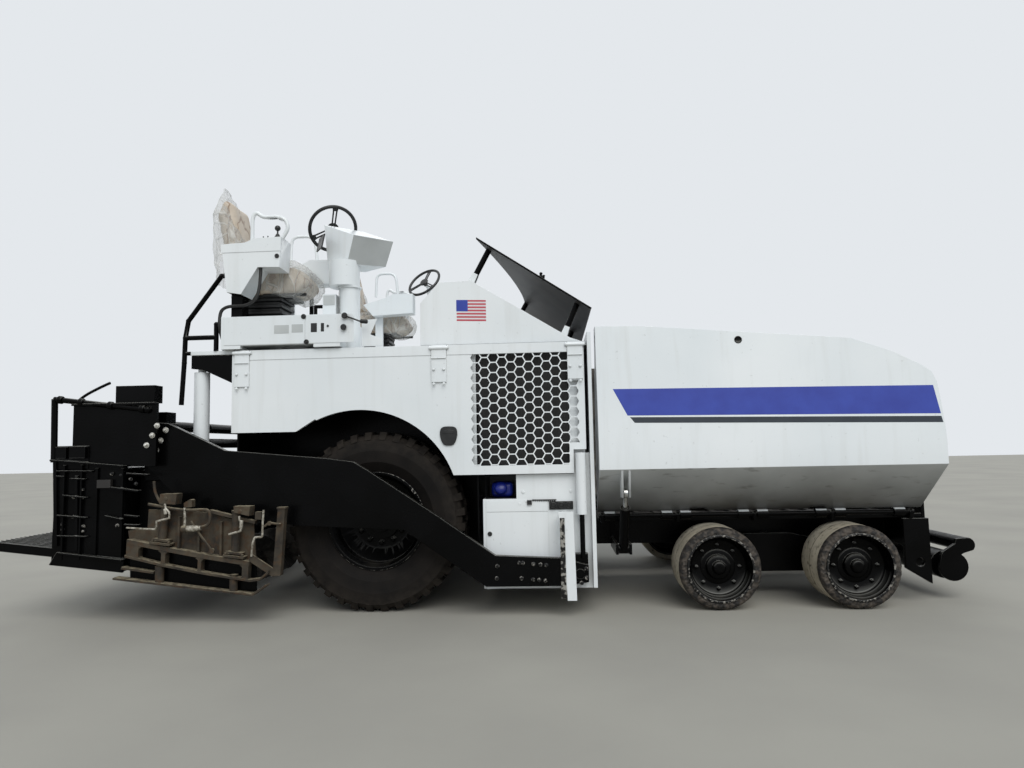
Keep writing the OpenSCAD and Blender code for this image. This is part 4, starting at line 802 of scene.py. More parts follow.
for side, shift in (("right", 0.0), ("left", station_shift)):
    piece = dressed("station_" + side, *white, 0.002)
    # The pod's front face looks down and forward and is painted grey as shade; the post under the
    # console is black
    repaint(piece, pod_shade_grey, lambda c, n: n.x > 0.3 and n.y * c.y > 0.4 and c.z > 2.65
            and -1.15 < c.x - shift < -0.70)
    repaint(piece, black_enamel, lambda c, n: -1.915 < c.x - shift < -1.81
            and 1.26 < abs(c.y) < 1.40 and 2.215 < c.z < 2.42)
    repaint(piece, black_plastic, lambda c, n: abs(c.x - shift + 1.55) < 0.03
            and 1.35 < abs(c.y) < 1.43 and 2.815 < c.z < 2.94)
    # Arm rest, which bent tube takes the place of
    faces_cut(piece, lambda c: c.z > 2.83 and 1.38 < abs(c.y) < 1.42
              and -1.78 < c.x - shift < -1.44 and not abs(c.x - shift + 1.55) < 0.03)
    edited(piece, (bpy.ops.mesh.fill_holes, {"sides": 0}))
rests = joined(pipe([(-1.743, 2.79), (-1.743, 2.90), (-1.742, 2.985), (-1.715, 3.028),
                     (-1.670, 2.992), (-1.640, 2.982), (-1.560, 2.986), (-1.500, 2.972),
                     (-1.470, 2.930), (-1.466, 2.87), (-1.520, 2.80)], 0.0155, y=-1.40),
               pipe([(-1.700, 2.79), (-1.696, 2.90), (-1.692, 3.005), (-1.655, 3.036),
                     (-1.600, 3.037), (-1.525, 3.035), (-1.490, 3.000), (-1.478, 2.93),
                     (-1.466, 2.79)], 0.014, y=-0.70))
finish_on_stations(rests, "arm_rests", *white, smooth=60)

# Steering wheels: thick soft rims on three slotted spokes and a hub with a round cap
bpy.ops.object.select_all(action="DESELECT")
bpy.ops.mesh.primitive_torus_add(major_radius=0.185, minor_radius=0.014, major_segments=72,
                                 minor_segments=14, rotation=(math.radians(90), 0, 0))
rim = bpy.context.object
bpy.ops.object.transform_apply(location=True, rotation=True, scale=True)
spokes = []
for turn in (0, 122, 238):
    for shape in ([(-0.017, 0.03), (-0.006, 0.03), (-0.007, 0.155), (-0.019, 0.155)],
                  [(0.006, 0.03), (0.017, 0.03), (0.019, 0.155), (0.007, 0.155)],
                  [(-0.019, 0.150), (0.019, 0.150), (0.026, 0.182), (-0.026, 0.182)]):
        spoke = cut_plate(shape, -0.005, 0.010)
        spoke.data.transform(Matrix.Rotation(math.radians(turn), 4, "Y"))
        spokes.append(spoke)
cap = turned([(0.024, 0), (0.026, 0.03), (0.048, 0.036), (0.048, 0.046), (0.040, 0.054),
              (0.018, 0.057)], (0, 0.036, 0), 32)
helm = joined(rim, cap, *spokes)
facing = Vector((-0.39, 0.72, 0.57)).normalized()
upright = (Vector((0, 0, 1)) - facing * facing.z).normalized()
across = (-facing).cross(upright)
helm.data.transform(Matrix.Translation((-1.24, -1.0, 3.0)) @ Matrix(
    (across, -facing, upright)).transposed().to_4x4())
grips = ("wheel_plastic", black_plastic)
finish_pair(helm, "helm", "steering_wheel_{}", *grips, 0.0015, 50, station_shift,
            "steering_wheel_{}")

# Covers and fittings of the stations
side_y = -1.4505
covers = joined(panel((-1.93, 1.995), (-1.315, 2.206), side_y - 0.003, 0.0035),
                panel((-1.306, 1.995), (-0.945, 2.206), side_y - 0.003, 0.0035),
                cut_plate([(-1.9625, 2.702), (-1.752, 2.703), (-1.508, 2.704), (-1.5015, 2.70),
                           (-1.5015, 2.812), (-1.70, 2.808), (-1.78, 2.776), (-1.9625, 2.767)],
                          side_y - 0.003, 0.0035))
finish_on_stations(covers, "station_covers", *white, 0.001)
# Shallow recesses drawn as grey plates whose grey is painted shade
recess_shade_plates = joined(panel((-1.546, 2.073), (-1.434, 2.136), side_y - 0.0045, 0.002),
                panel((-1.413, 2.078), (-1.328, 2.139), side_y - 0.0045, 0.002),
                panel((-1.228, 2.312), (-1.14, 2.388), -1.2825, 0.002))
finish_on_stations(recess_shade_plates, "station_recess_shade_plates", "white_paint", recess_shade_grey, 0.0008)
catches = at_spots([(0.019, 0), (0.019, 0.004), (0.013, 0.006), (0.011, 0.003),
                    (0.006, 0.003), (0.005, 0.008)], side_y - 0.003,
                   [(-1.323, 2.196), (-1.301, 2.004)], 20)
# Black plates stand in for the shaded insides of two openings
holes = joined(panel((-1.268, 2.076), (-1.222, 2.144), side_y - 0.0042, 0.0015),
               panel((-1.192, 2.079), (-1.168, 2.143), side_y - 0.0042, 0.0015))
knobs = at_spots([(0.010, 0), (0.010, 0.008), (0.021, 0.010), (0.023, 0.020),
                  (0.019, 0.026)], side_y - 0.003, [(-1.009, 2.191), (-1.017, 2.105)], 20)
lever = joined(pipe([(-0.990, side_y - 0.012, 2.184), (-0.95, side_y - 0.020, 2.168),
                     (-0.90, side_y - 0.022, 2.147), (-0.885, side_y - 0.022, 2.143)], 0.006),
               turned([(0.012, 0), (0.016, 0.006), (0.016, 0.05), (0.010, 0.056)],
                      (-0.89, side_y - 0.022, 2.145), 16, (1, 0, -0.1)))
small = turned([(0.008, 0), (0.008, 0.006)], (-1.139, side_y - 0.003, 2.12), 12)
console_catch = turned([(0.017, 0), (0.017, 0.005), (0.012, 0.008), (0.008, 0.004)],
                       (-1.531, side_y, 2.665), 20)
boot = turned([(0.034, 0), (0.030, 0.006), (0.016, 0.03), (0.011, 0.04)],
              (-1.55, -1.39, 2.812), 20, (0, 0, 1))
switch = turned([(0.011, 0), (0.011, 0.006), (0.005, 0.008), (0.004, 0.022), (0.006, 0.026)],
                (-1.66, -1.40, 2.808), 12, (0.15, 0, 1))
switches = in_places(switch, [(0.035, 0, 0.003), (0, 0.05, 0), (0.035, 0.05, 0.003)])
finish_on_stations(joined(catches, holes, knobs, lever, small, console_catch, boot, switches),
                   "station_controls", *grips, 0.0006)
bracket = cut_plate([(-0.898, 1.966), (-0.743, 1.966), (-0.743, 2.020), (-0.833, 2.056),
                     (-0.781, 2.172), (-0.898, 2.166)], -1.40, 0.006)
tray = boxed((-1.235, -1.28, 2.2105), (-1.132, -1.14, 2.398))
finish_on_stations(joined(bracket, tray), "station_bracket", *white, 0.002)
# Gauge panel on the pod: a dark screen in a raised bezel under the wheel
bezel = dished(boxed((-0.075, -0.012, -0.055), (0.075, 0.0, 0.055)), 0.008, 0.004)
bezel.data.transform(Matrix.Translation((-1.245, -1.28, 2.80)) @ Matrix.Rotation(
    math.radians(-58), 4, "Z") @ Matrix.Rotation(math.radians(-12), 4, "X"))
finish_on_stations(bezel, "pod_gauge_panel", *grips, 0.002)

# Hopper wings: one white steel panel each side, folded along its middle, with a plugged hole and
# a broad printed band. Painted shade darkens the underside toward the bottom, with a few streaked
# splashes over it, and mix has scoured the inside.
underside_shaded_white, spot = new_material("white_enamel_painted_underside_shade")
height = add_node(underside_shaded_white, "ShaderNodeSeparateXYZ", Vector=spot)
# Painted shade: the lower the point, the darker the white, over clouded patches
level = add_node(underside_shaded_white, "ShaderNodeMath", operation="MULTIPLY_ADD", in1=0.10,
                 in0=patches(underside_shaded_white, spot, 2.2, 0.3, 0.7, 6.0),
                 in2=height.outputs["Z"])
underside_shade = add_node(underside_shaded_white, "ShaderNodeMapRange", Value=level.outputs[0],
                      From_Min=1.14, From_Max=0.72, To_Min=0.12, To_Max=0.96)
splash = add_node(underside_shaded_white, "ShaderNodeMapping", Vector=spot, Scale=(2, 2, 9))
finish_material(underside_shaded_white, "#dcdfdf",
                [("#2b2823", underside_shade.outputs[0]),
                 ("#56524a", patches(underside_shaded_white, splash.outputs[0], 3, 0.6, 0.8, 5.0))],
                Roughness=0.42)

stained, spot = new_material("asphalt_stained_steel")
crumbs = add_node(stained, "ShaderNodeTexVoronoi", Vector=spot, Scale=90)
finish_material(stained, "#262320", [("#55504a", patches(stained, spot, 4, 0.35, 0.65, 8.0))],
                (crumbs.outputs["Distance"], 0.4, 0.004), Metallic=0.3, Roughness=0.6)
hard_chrome, spot = new_material("hard_chrome")
drawn = add_node(hard_chrome, "ShaderNodeMapping", Vector=spot, Scale=(200, 200, 4))
scratches = add_node(hard_chrome, "ShaderNodeTexNoise", Vector=drawn.outputs[0])
wiped = add_node(hard_chrome, "ShaderNodeMapRange", Value=scratches.outputs["Fac"],
                 To_Min=0.1, To_Max=0.24)
finish_material(hard_chrome, "#c9cbcc",
                [("#8f8b84", patches(hard_chrome, spot, 14, 0.45, 0.7))],
                Metallic=1.0, Roughness=wiped.outputs[0])
for side, sign in (("right", -1), ("left", 1)):
    piece = dressed("hopper_wing_" + side, *white, 0.002)
    # Downward faces of the outer side get the painted underside shade
    repaint(piece, underside_shaded_white, lambda c, n: n.z < -0.02 and n.y * sign > 0.3)
    repaint(piece, stained, lambda c, n: n.y * sign < -0.25 and c.x < 3.2)
    repaint(piece, black_enamel, lambda c, n: c.z < 0.682)
    dressed("wing_barrel_" + side, *black)
    recoated("wing_rod_" + side, hard_chrome)
# Bands on the upper panel, which leans back by 79 mm in each metre
wing, fold_z, band_y, panel_lean = "hopper_wing_{}", 1.175, 1.5206, 0.0791
for outline, name, slot, ink in (
        ([(0.948, 1.595), (3.180, 1.570), (3.212, 1.370), (1.046, 1.402)],
         "hopper_blue_band", "blue_plastic", blue_film),
        ([(1.063, 1.390), (3.213, 1.352), (3.222, 1.308), (1.095, 1.349)],
         "hopper_dark_band", "black_paint", dark_film)):
    band = cut_plate(outline, 0, 0.0012)
    for corner in band.data.vertices:
        corner.co.y -= band_y - panel_lean * (corner.co.z - fold_z)
    finish_pair(band, name, wing, slot, ink)
plug = turned([(0.027, 0), (0.027, 0.003), (0.022, 0.004), (0.019, 0.001), (0.008, 0.0005)],
              (1.857, -1.4598, 1.932), 28, (0, -1, 0.079))
finish_pair(plug, "hopper_hole_plug", wing, *black)
tabs = joined(*[cut_plate([(x, 0.690), (x + 0.02, 0.712), (x + 0.11, 0.714), (x + 0.15, 0.692)],
                          -1.118, 0.004) for x in (1.52, 2.40)])
for corner in tabs.data.vertices:
    corner.co.y += 0.004 - (corner.co.z - 0.69) * 0.75
finish_pair(tabs, "hopper_drip_tabs", wing, *black)

# Push rollers: a free-turning steel tube each side of a middle bracket, under a round bumper
# bar. Small end plates, cut round both, tie them together.
def arc(x, z, radius, first, last):
    """Points on a circle, 15 degrees apart, from one angle off the vertical to another."""
    return [(x + radius * math.sin(math.radians(a)), z + radius * math.cos(math.radians(a)))
            for a in range(first, last + 1, 15)]


outline = [(3.385, 0.33), (3.40, 0.355), (3.488, 0.41), (3.50, 0.448), (3.585, 0.4535),
           *arc(3.58, 0.40, 0.055, 15, 135), (3.555, 0.342),
           *arc(3.47, 0.243, 0.107, 35, 260)]
push_frame = joined(
    cut_plate(outline, -1.04, 0.03), cut_plate(outline, 1.01, 0.03),
    turned([(0.053, 0), (0.053, 2.02)], (3.58, -1.01, 0.40), 40, (0, 1, 0)),
    turned([(0.028, 0), (0.028, 2.02)], (3.47, -1.01, 0.24), 24, (0, 1, 0)),
    boxed((3.2615, -0.095, 0.345), (3.43, 0.095, 0.56)),
    cut_plate([(3.2615, 0.33), (3.40, 0.18), (3.50, 0.18), (3.54, 0.33), (3.54, 0.44),
               (3.42, 0.56), (3.2615, 0.56)], -0.085, 0.04),
    cut_plate([(3.40, 0.19), (3.52, 0.19), (3.52, 0.42), (3.40, 0.44)], 0.045, 0.04),
    boxed((3.2615, -0.42, 0.43), (3.33, 0.42, 0.55)))
round_edges(push_frame, 0.003, 40)
finish_single(push_frame, "push_frame", "push_beam", *black)

# Tow arms and cylinders: each arm is one flame-cut plate sprayed black, bolted to the screed
# with six plated bolts and to the tow block with a double row. The lift barrel is white, and
# the tow point's small cylinder is white above its black rod.
plated, spot = new_material("zinc_plated_steel")
finish_material(plated, "#d6d5cf", [("#8f8b80", patches(plated, spot, 60, 0.4, 0.7))],
                Metallic=0.6, Roughness=0.35)
for side in ("right", "left"):
    dressed("tow_arm_" + side, *black, 0.003)
    dressed("lift_barrel_" + side, *white, 0.002)
    recoated("lift_rod_" + side, hard_chrome)
cylinders = dressed("levelling_cylinders", *white, 0.0015)
repaint(cylinders, black_enamel, lambda c, n: c.z < 0.70)
rear = at_spots([(0.022, 0), (0.022, 0.004), (0.0165, 0.005), (0.0165, 0.016),
                 (0.009, 0.018), (0.009, 0.032), (0.006, 0.034)], -1.499,
                [(-2.373, 1.295), (-2.404, 1.223), (-2.335, 1.370)], 12)
finish_pair(rear, "tow_arm_rear_bolts", "screed", "grey_steel", plated)
front = at_spots([(0.016, 0), (0.016, 0.003), (0.012, 0.004), (0.012, 0.013),
                  (0.008, 0.015)], -1.4995,
                 [(0.097, 0.358), (0.252, 0.380), (0.276, 0.379), (0.353, 0.371),
                  (0.402, 0.366), (0.442, 0.362), (0.092, 0.274), (0.266, 0.272),
                  (0.347, 0.263), (0.391, 0.259), (0.431, 0.255), (0.688, 0.236),
                  (0.720, 0.335), (0.722, 0.271)], 6)
finish_pair(front, "tow_arm_front_bolts", "screed", "grey_steel", worn_lip)

# Guide post of the tow point: a white welded post with a slot that the greased block slides
# in, a plain face plate, and a small red reflector beside it.
greased, spot = new_material("greased_bare_steel")
finish_material(greased, "#151413", [("#a09d96", patches(greased, spot, 34, 0.47, 0.56, 5.0))],
                Metallic=0.4, Roughness=0.4)
slot = cut_plate([(0.544, 0.135), (0.581, 0.135), (0.578, 0.69), (0.544, 0.69)], -1.5186,
                 0.001)
finish_pair(slot, "guide_slot", "tractor", "grey_steel", greased)
post_face = cut_plate([(0.583, 0.732), (0.641, 0.732), (0.652, 0.118), (0.586, 0.118)],
                      -1.5205, 0.003)
finish_pair(post_face, "guide_post_face", "tractor", *white, 0.001)
reflector, spot = new_material("red_acrylic_reflector")
prisms = add_node(reflector, "ShaderNodeTexVoronoi", Vector=spot, Scale=260)
finish_material(reflector, "#7c1414", [("#c4302a", prisms.outputs["Distance"])],
                Roughness=0.15)
lens = dished(boxed((0.505, -1.4005, 0.349), (0.539, -1.394, 0.389)), 0.002, -0.0015)
finish_pair(lens, "side_reflector", "tractor", "white_paint", reflector, 0.0008)

# Screed: welded boxes of plate sprayed black, its extensions riding on two tubes. The near
# end plate is stiffened with flanges and short bars, and carries bolts and a grey lid.
dressed("main_screed", *black, 0.004)
for side in ("right", "left"):
    dressed("screed_extension_" + side, *black)


def flat_bar(start, end, y, wide, thick):
    """A flat bar along a line of x and z, its outer face at y, so wide across that line."""
    along = Vector((end[0] - start[0], end[1] - start[1])).normalized() * (wide / 2)
    return cut_plate([(start[0] - along.y, start[1] + along.x),
                      (end[0] - along.y, end[1] + along.x),
                      (end[0] + along.y, end[1] - along.x),
                      (start[0] + along.y, start[1] - along.x)], y, thick)


end_y = -1.585
end_plate = "extension_{}"
bars = [flat_bar(a, b, end_y - proud, wide, proud + 0.002) for a, b, wide, proud in (
    ((-3.124, 1.166), (-2.573, 1.113), 0.014, 0.045),
    ((-3.088, 1.086), (-2.818, 1.081), 0.012, 0.022),
    ((-3.087, 1.049), (-3.026, 1.045), 0.012, 0.024),
    ((-2.982, 1.029), (-2.871, 1.024), 0.012, 0.024),
    ((-3.032, 0.911), (-2.856, 0.892), 0.012, 0.026),
    ((-3.071, 0.769), (-2.852, 0.750), 0.012, 0.026),
    ((-3.066, 0.623), (-2.847, 0.615), 0.012, 0.026),
    ((-3.108, 1.161), (-3.080, 0.550), 0.026, 0.014),
    ((-2.938, 1.051), (-2.920, 0.517), 0.020, 0.020),
    ((-2.674, 0.963), (-2.461, 0.934), 0.014, 0.040),
    ((-2.711, 0.760), (-2.586, 0.732), 0.014, 0.030),
    ((-2.570, 0.763), (-2.467, 0.751), 0.013, 0.028),
    ((-2.568, 0.696), (-2.460, 0.691), 0.013, 0.028),
    ((-2.560, 1.060), (-2.400, 1.048), 0.012, 0.030),
    ((-3.056, 0.503), (-2.576, 0.445), 0.016, 0.034),
    ((-2.790, 1.105), (-2.790, 0.480), 0.018, 0.012),
    ((-2.600, 1.100), (-2.600, 0.470), 0.018, 0.012))]
backing = boxed((-3.118, end_y - 0.001, 1.10), (-2.86, end_y + 0.03, 1.268))
boxes = [dished(boxed((a, end_y - 0.028, 1.176), (b, end_y - 0.0005, 1.262)), 0.006, 0.004)
         for a, b in ((-3.095, -3.015), (-2.992, -2.872))]
strap = pipe([(-2.995, 1.575), (-2.96, 1.62), (-2.80, 1.70), (-2.736, 1.725)], 0.011, y=-1.55)
collars = in_places(turned([(0.026, 0), (0.029, 0.006), (0.029, 0.03), (0.026, 0.036)],
                           (-3.10, -1.591, 1.607), 20, (1, 0, -0.13)),
                    [(0.16, 0, -0.021), (0.38, 0, -0.049), (0.62, 0, -0.080)])
finish_pair(joined(*bars, backing, *boxes, strap, collars), "end_plate_stiffeners", end_plate,
            *black, 0.002)
lid = panel((-2.776, 0.960), (-2.674, 1.019), end_y - 0.03, 0.0295)
finish_pair(lid, "end_plate_lid", end_plate, "black_paint", satin_black, 0.002)
bolts = at_spots([(0.014, 0), (0.014, 0.003), (0.0105, 0.004), (0.0105, 0.014),
                  (0.006, 0.016)], end_y,
                 [(-2.896, 0.951), (-2.895, 0.893), (-2.961, 0.899), (-2.961, 0.757),
                  (-2.882, 0.688), (-2.881, 0.652), (-3.036, 0.706), (-3.035, 0.669),
                  (-2.50, 0.985), (-2.54, 1.02), (-2.63, 0.69), (-2.61, 1.05),
                  (-2.68, 1.06)], 6)
finish_pair(bolts, "end_plate_bolts", end_plate, "black_paint", worn_lip)
upper = at_spots([(0.021, 0), (0.021, 0.004), (0.0155, 0.005), (0.0155, 0.015),
                  (0.009, 0.017), (0.009, 0.028), (0.006, 0.030)], end_y,
                 [(-2.429, 1.261), (-2.388, 1.331), (-2.354, 1.401)], 12)
finish_pair(upper, "end_plate_upper_bolts", end_plate, "grey_steel", plated)

# End gates: a ladder-like frame of bar steel on a sledge skid, which keeps the mix in. It
# stands on two screw jacks with cranks. Its paint is worn off, so it is rusty and dusty.
rusted, spot = new_material("dusty_rusted_steel")
surface = add_node(rusted, "ShaderNodeNewGeometry")
faces_up = add_node(rusted, "ShaderNodeSeparateXYZ", Vector=surface.outputs["Normal"])
lying = add_node(rusted, "ShaderNodeMapRange", Value=faces_up.outputs["Z"], From_Min=0.3,
                 From_Max=0.95)
settled = add_node(rusted, "ShaderNodeMath", operation="MULTIPLY", in0=lying.outputs[0],
                   in1=patches(rusted, spot, 30, 0.3, 0.6))
scale = add_node(rusted, "ShaderNodeTexNoise", Vector=spot, Scale=130, Detail=5.0)
finish_material(rusted, "#26211b",
                [("#504739", patches(rusted, spot, 8, 0.35, 0.65, 7.0)),
                 ("#45321f", patches(rusted, spot, 24, 0.5, 0.7, 5.0)),
                 ("#938973", settled.outputs[0])],
                (scale.outputs["Fac"], 0.5, 0.004), Metallic=0.15, Roughness=0.75)
rubbed_steel, spot = new_material("rubbed_steel")
finish_material(rubbed_steel, "#b9b4a8",
                [("#6f6759", patches(rubbed_steel, spot, 50, 0.4, 0.65))],
                Metallic=0.35, Roughness=0.45)

gate_y = -1.66
# Shoe plate, whose lower part is shown black behind the frame
shoe_y, shoe_thick = -1.597, 0.0112
shoe = cut_plate([(-2.545, 0.651), (-2.45, 0.668), (-2.402, 0.667), (-2.396, 0.802),
                  (-2.227, 0.795), (-1.937, 0.773), (-1.787, 0.721), (-1.627, 0.705),
                  (-1.605, 0.42), (-2.531, 0.58)], shoe_y, shoe_thick)
low_shoe = cut_plate([(-2.531, 0.58), (-1.605, 0.42), (-1.60, 0.215), (-2.52, 0.318)],
                     shoe_y, shoe_thick)
gate = [cut_plate([(-2.514, 0.600), (-2.207, 0.537), (-1.967, 0.491), (-1.633, 0.436),
                   (-1.633, 0.404), (-1.967, 0.459), (-2.207, 0.505), (-2.514, 0.568)],
                  gate_y, 0.064),
        cut_plate([(-2.530, 0.490), (-2.241, 0.421), (-1.965, 0.367), (-1.627, 0.311),
                   (-1.556, 0.318), (-1.49, 0.372), (-1.49, 0.355), (-1.556, 0.302),
                   (-1.627, 0.295), (-1.965, 0.350), (-2.241, 0.404), (-2.530, 0.473)],
                  gate_y, 0.064),
        cut_plate([(-2.517, 0.590), (-2.430, 0.565), (-2.432, 0.455), (-2.520, 0.480)],
                  gate_y + 0.002, 0.060)]
# Fillets that round the frame's openings
for x, z, turn in ((-2.428, 0.540, 0), (-2.267, 0.508, 1), (-2.268, 0.424, 2),
                   (-2.429, 0.462, 3), (-2.233, 0.500, 0), (-1.999, 0.455, 1),
                   (-2.002, 0.374, 2), (-2.236, 0.418, 3), (-1.972, 0.450, 0),
                   (-1.681, 0.402, 1), (-1.685, 0.320, 2), (-1.977, 0.366, 3)):
    dx, dz = ((1, -1), (-1, -1), (-1, 1), (1, 1))[turn]
    gate.append(cut_plate([(x - 0.006 * dx, z - 0.008 * dz), (x + 0.020 * dx, z - 0.008 * dz),
                           (x + 0.004 * dx, z + 0.004 * dz),
                           (x - 0.006 * dx, z + 0.020 * dz)], gate_y + 0.004, 0.055))
# Skid with its upturned toe, then the front post
gate += [cut_plate([(-2.609, 0.334), (-2.146, 0.279), (-1.608, 0.213), (-1.512, 0.276),
                    (-1.504, 0.266), (-1.604, 0.199), (-2.146, 0.264), (-2.609, 0.320)],
                   gate_y - 0.004, 0.078),
         cut_plate([(-1.436, 0.796), (-1.384, 0.799), (-1.413, 0.333), (-1.470, 0.330)],
                   -1.643, 0.056),
         boxed((-1.442, -1.648, 0.792), (-1.380, -1.584, 0.806)),
         cut_plate([(-2.113, 0.846), (-2.064, 0.872), (-2.052, 0.866), (-2.052, 0.817),
                    (-2.108, 0.812)], -1.650, 0.05),
         boxed((-1.596, -1.650, 0.722), (-1.550, -1.60, 0.776))]
gate += [turned([(r, 0), (r, 0.115), (r + 0.004, 0.118)], (x, -1.626, z), 24, (0, 0, 1))
         for x, z, r in ((-2.289, 0.292, 0.030), (-1.753, 0.225, 0.028))]
# Rungs, brace, ledge and top bar
gate += [flat_bar(*bar) for bar in (
    ((-2.249, 0.535), (-2.251, 0.405), gate_y + 0.002, 0.030, 0.060),
    ((-1.985, 0.485), (-1.990, 0.355), gate_y + 0.002, 0.024, 0.060),
    ((-1.657, 0.430), (-1.662, 0.302), gate_y + 0.002, 0.045, 0.060),
    ((-1.633, 0.460), (-1.455, 0.345), -1.640, 0.050, 0.018),
    ((-2.558, 0.398), (-2.321, 0.364), -1.650, 0.016, 0.060),
    ((-1.930, 0.786), (-1.600, 0.702), -1.640, 0.022, 0.042))]
gate += [panel((x, z), (x + 0.016, z + tall), -1.628, 0.034)
         for x, z, tall in ((-2.165, 0.53, 0.22), (-2.02, 0.49, 0.16), (-1.86, 0.46, 0.25))]
# Screw jacks: a barrel with a head, its gear cap with a knob, two clamps and their bolts
for x, z, top, lean, cap in (
        (-2.279, 0.596, 0.845, 0.09,
         [(-2.276, 0.846), (-2.160, 0.838), (-2.150, 0.914), (-2.272, 0.914)]),
        (-1.749, 0.500, 0.772, 0.02,
         [(-1.736, 0.776), (-1.628, 0.750), (-1.622, 0.818), (-1.740, 0.820)])):
    gate += [turned([(0.029, 0), (0.029, top - z), (0.034, top - z + 0.003),
                     (0.034, top - z + 0.016), (0.018, top - z + 0.02)],
                    (x + 0.006, -1.628, z), 28, (lean, 0, 1)),
             dished(cut_plate(cap, -1.676, 0.088), 0.008, 0.004),
             turned([(0.014, 0), (0.014, 0.006), (0.006, 0.008)],
                    ((cap[0][0] + cap[1][0]) / 2 - 0.01, -1.672, cap[2][1] - 0.036), 16),
             flat_bar((x - 0.066, z - 0.022), (x + 0.082, z - 0.040), -1.672, 0.016, 0.085),
             flat_bar((x - 0.042, z + 0.002), (x + 0.066, z - 0.014), -1.666, 0.016, 0.070)]
    gate += [turned([(0.012, 0), (0.012, 0.010), (0.006, 0.012), (0.006, 0.024)],
                    (x + dx, -1.655, z - 0.02 - 0.12 * dx), 6, (0.1, 0, 1))
             for dx in (-0.05, 0.066)]
# Linkage of bent rods with their eyes and one sleeve
gate += [pipe([(-2.325, 1.004), (-2.322, 0.955), (-2.312, 0.915), (-2.276, 0.850),
               (-2.240, 0.818)], 0.010, y=gate_y),
         pipe([(-2.363, 0.843), (-2.269, 0.826), (-2.195, 0.809), (-2.102, 0.796),
               (-1.975, 0.798), (-1.930, 0.797), (-1.914, 0.770), (-1.914, 0.730),
               (-1.920, 0.700), (-1.950, 0.680), (-2.000, 0.674)], 0.011, y=gate_y),
         pipe([(-2.055, 0.717), (-1.974, 0.605), (-1.899, 0.511)], 0.008, 2, -1.652),
         pipe([(-1.522, 0.675), (-1.505, 0.690), (-1.486, 0.701), (-1.440, 0.691),
               (-1.405, 0.690)], 0.008, y=gate_y),
         turned([(0.018, 0), (0.018, 0.014)], (-1.899, -1.645, 0.511), 16),
         turned([(0.021, 0), (0.025, 0.004), (0.025, 0.036), (0.020, 0.04)],
                (-2.116, -1.664, 0.665), 20, (1, 0, 0.06)),
         turned([(0.015, 0), (0.015, 0.012)], (-1.487, -1.655, 0.697), 16)]
finish_pair(low_shoe, "end_gate_backing", end_plate, "rusty_steel", black_enamel)
finish_pair(joined(*gate, shoe), "end_gate_frame", end_plate, "rusty_steel", rusted, 0.0015,
            node="end_gate_{}")
# Cranks of the jacks, with their grips, and the rods rubbed bright by hands
cranks = [pipe([(-2.232, -1.682, 0.845), (-2.222, -1.684, 0.812), (-2.197, -1.686, 0.788),
                (-2.193, -1.686, 0.765), (-2.196, -1.686, 0.744), (-2.240, -1.686, 0.736),
                (-2.290, -1.686, 0.723)], 0.0075, 2),
          turned([(0.010, 0), (0.013, 0.004), (0.013, 0.036), (0.010, 0.04)],
                 (-2.229, -1.682, 0.812), 16, (0.15, 0, -1)),
          pipe([(-1.694, -1.682, 0.752), (-1.690, -1.684, 0.722), (-1.672, -1.686, 0.712),
                (-1.676, -1.686, 0.680), (-1.682, -1.686, 0.648), (-1.720, -1.686, 0.640),
                (-1.766, -1.686, 0.628)], 0.0075, 2),
          turned([(0.010, 0), (0.013, 0.004), (0.013, 0.05), (0.010, 0.054)],
                 (-1.676, -1.684, 0.722), 16, (-0.1, 0, -1)),
          turned([(0.020, 0), (0.022, 0.003), (0.022, 0.078), (0.016, 0.084), (0.014, 0.1)],
                 (-2.078, -1.664, 0.667), 28, (1, 0, 0.06)),
          pipe([(-1.528, -1.664, 0.790), (-1.531, -1.664, 0.740), (-1.534, -1.664, 0.700),
                (-1.535, -1.664, 0.604), (-1.590, -1.664, 0.601), (-1.605, -1.664, 0.557),
                (-1.618, -1.650, 0.469)], 0.008, 2),
          pipe([(-2.097, 0.815), (-2.095, 0.690)], 0.009, 2, -1.662),
          pipe([(-2.286, -1.686, 0.724), (-2.290, -1.680, 0.690), (-2.300, -1.672, 0.668),
                (-2.40, -1.664, 0.672), (-2.52, -1.655, 0.680)], 0.007, 2)]
finish_pair(joined(*cranks), "end_gate_cranks", end_plate, "grey_steel", rubbed_steel, 0.0, 50)

# Seats: a moulded base with a rubber bellows, a vinyl cushion and back filled with foam, and
# over both a bag of clear film, still on from the paint shop, crumpled and gathered at the top.
vinyl, spot = new_material("beige_vinyl")
# Long folds where the vinyl has creased, about 60 mm apart, their hollows painted dark brown as
# shade
folds = add_node(vinyl, "ShaderNodeTexWave", Vector=spot, Scale=3.2, Distortion=9.0,
                 Detail=3.0, Detail_Scale=1.4)
# The dark brown in the fold hollows is painted shade
deep = add_node(vinyl, "ShaderNodeMapRange", Value=folds.outputs["Fac"], From_Min=0.10,
                From_Max=0.0, To_Max=0.75)
pores = add_node(vinyl, "ShaderNodeTexVoronoi", Vector=spot, Scale=380)
height = add_node(vinyl, "ShaderNodeMath", operation="MULTIPLY_ADD",
                  in0=folds.outputs["Fac"], in1=6.0, in2=pores.outputs["Distance"])
finish_material(vinyl, "#b8a893", [("#cdbfae", patches(vinyl, spot, 5, 0.35, 0.65, 3.0)),
                                   ("#7d5f49", deep.outputs[0])],
                (height.outputs[0], 0.25, 0.002), Roughness=0.5)

film, spot = new_material("clear_polythene_film")
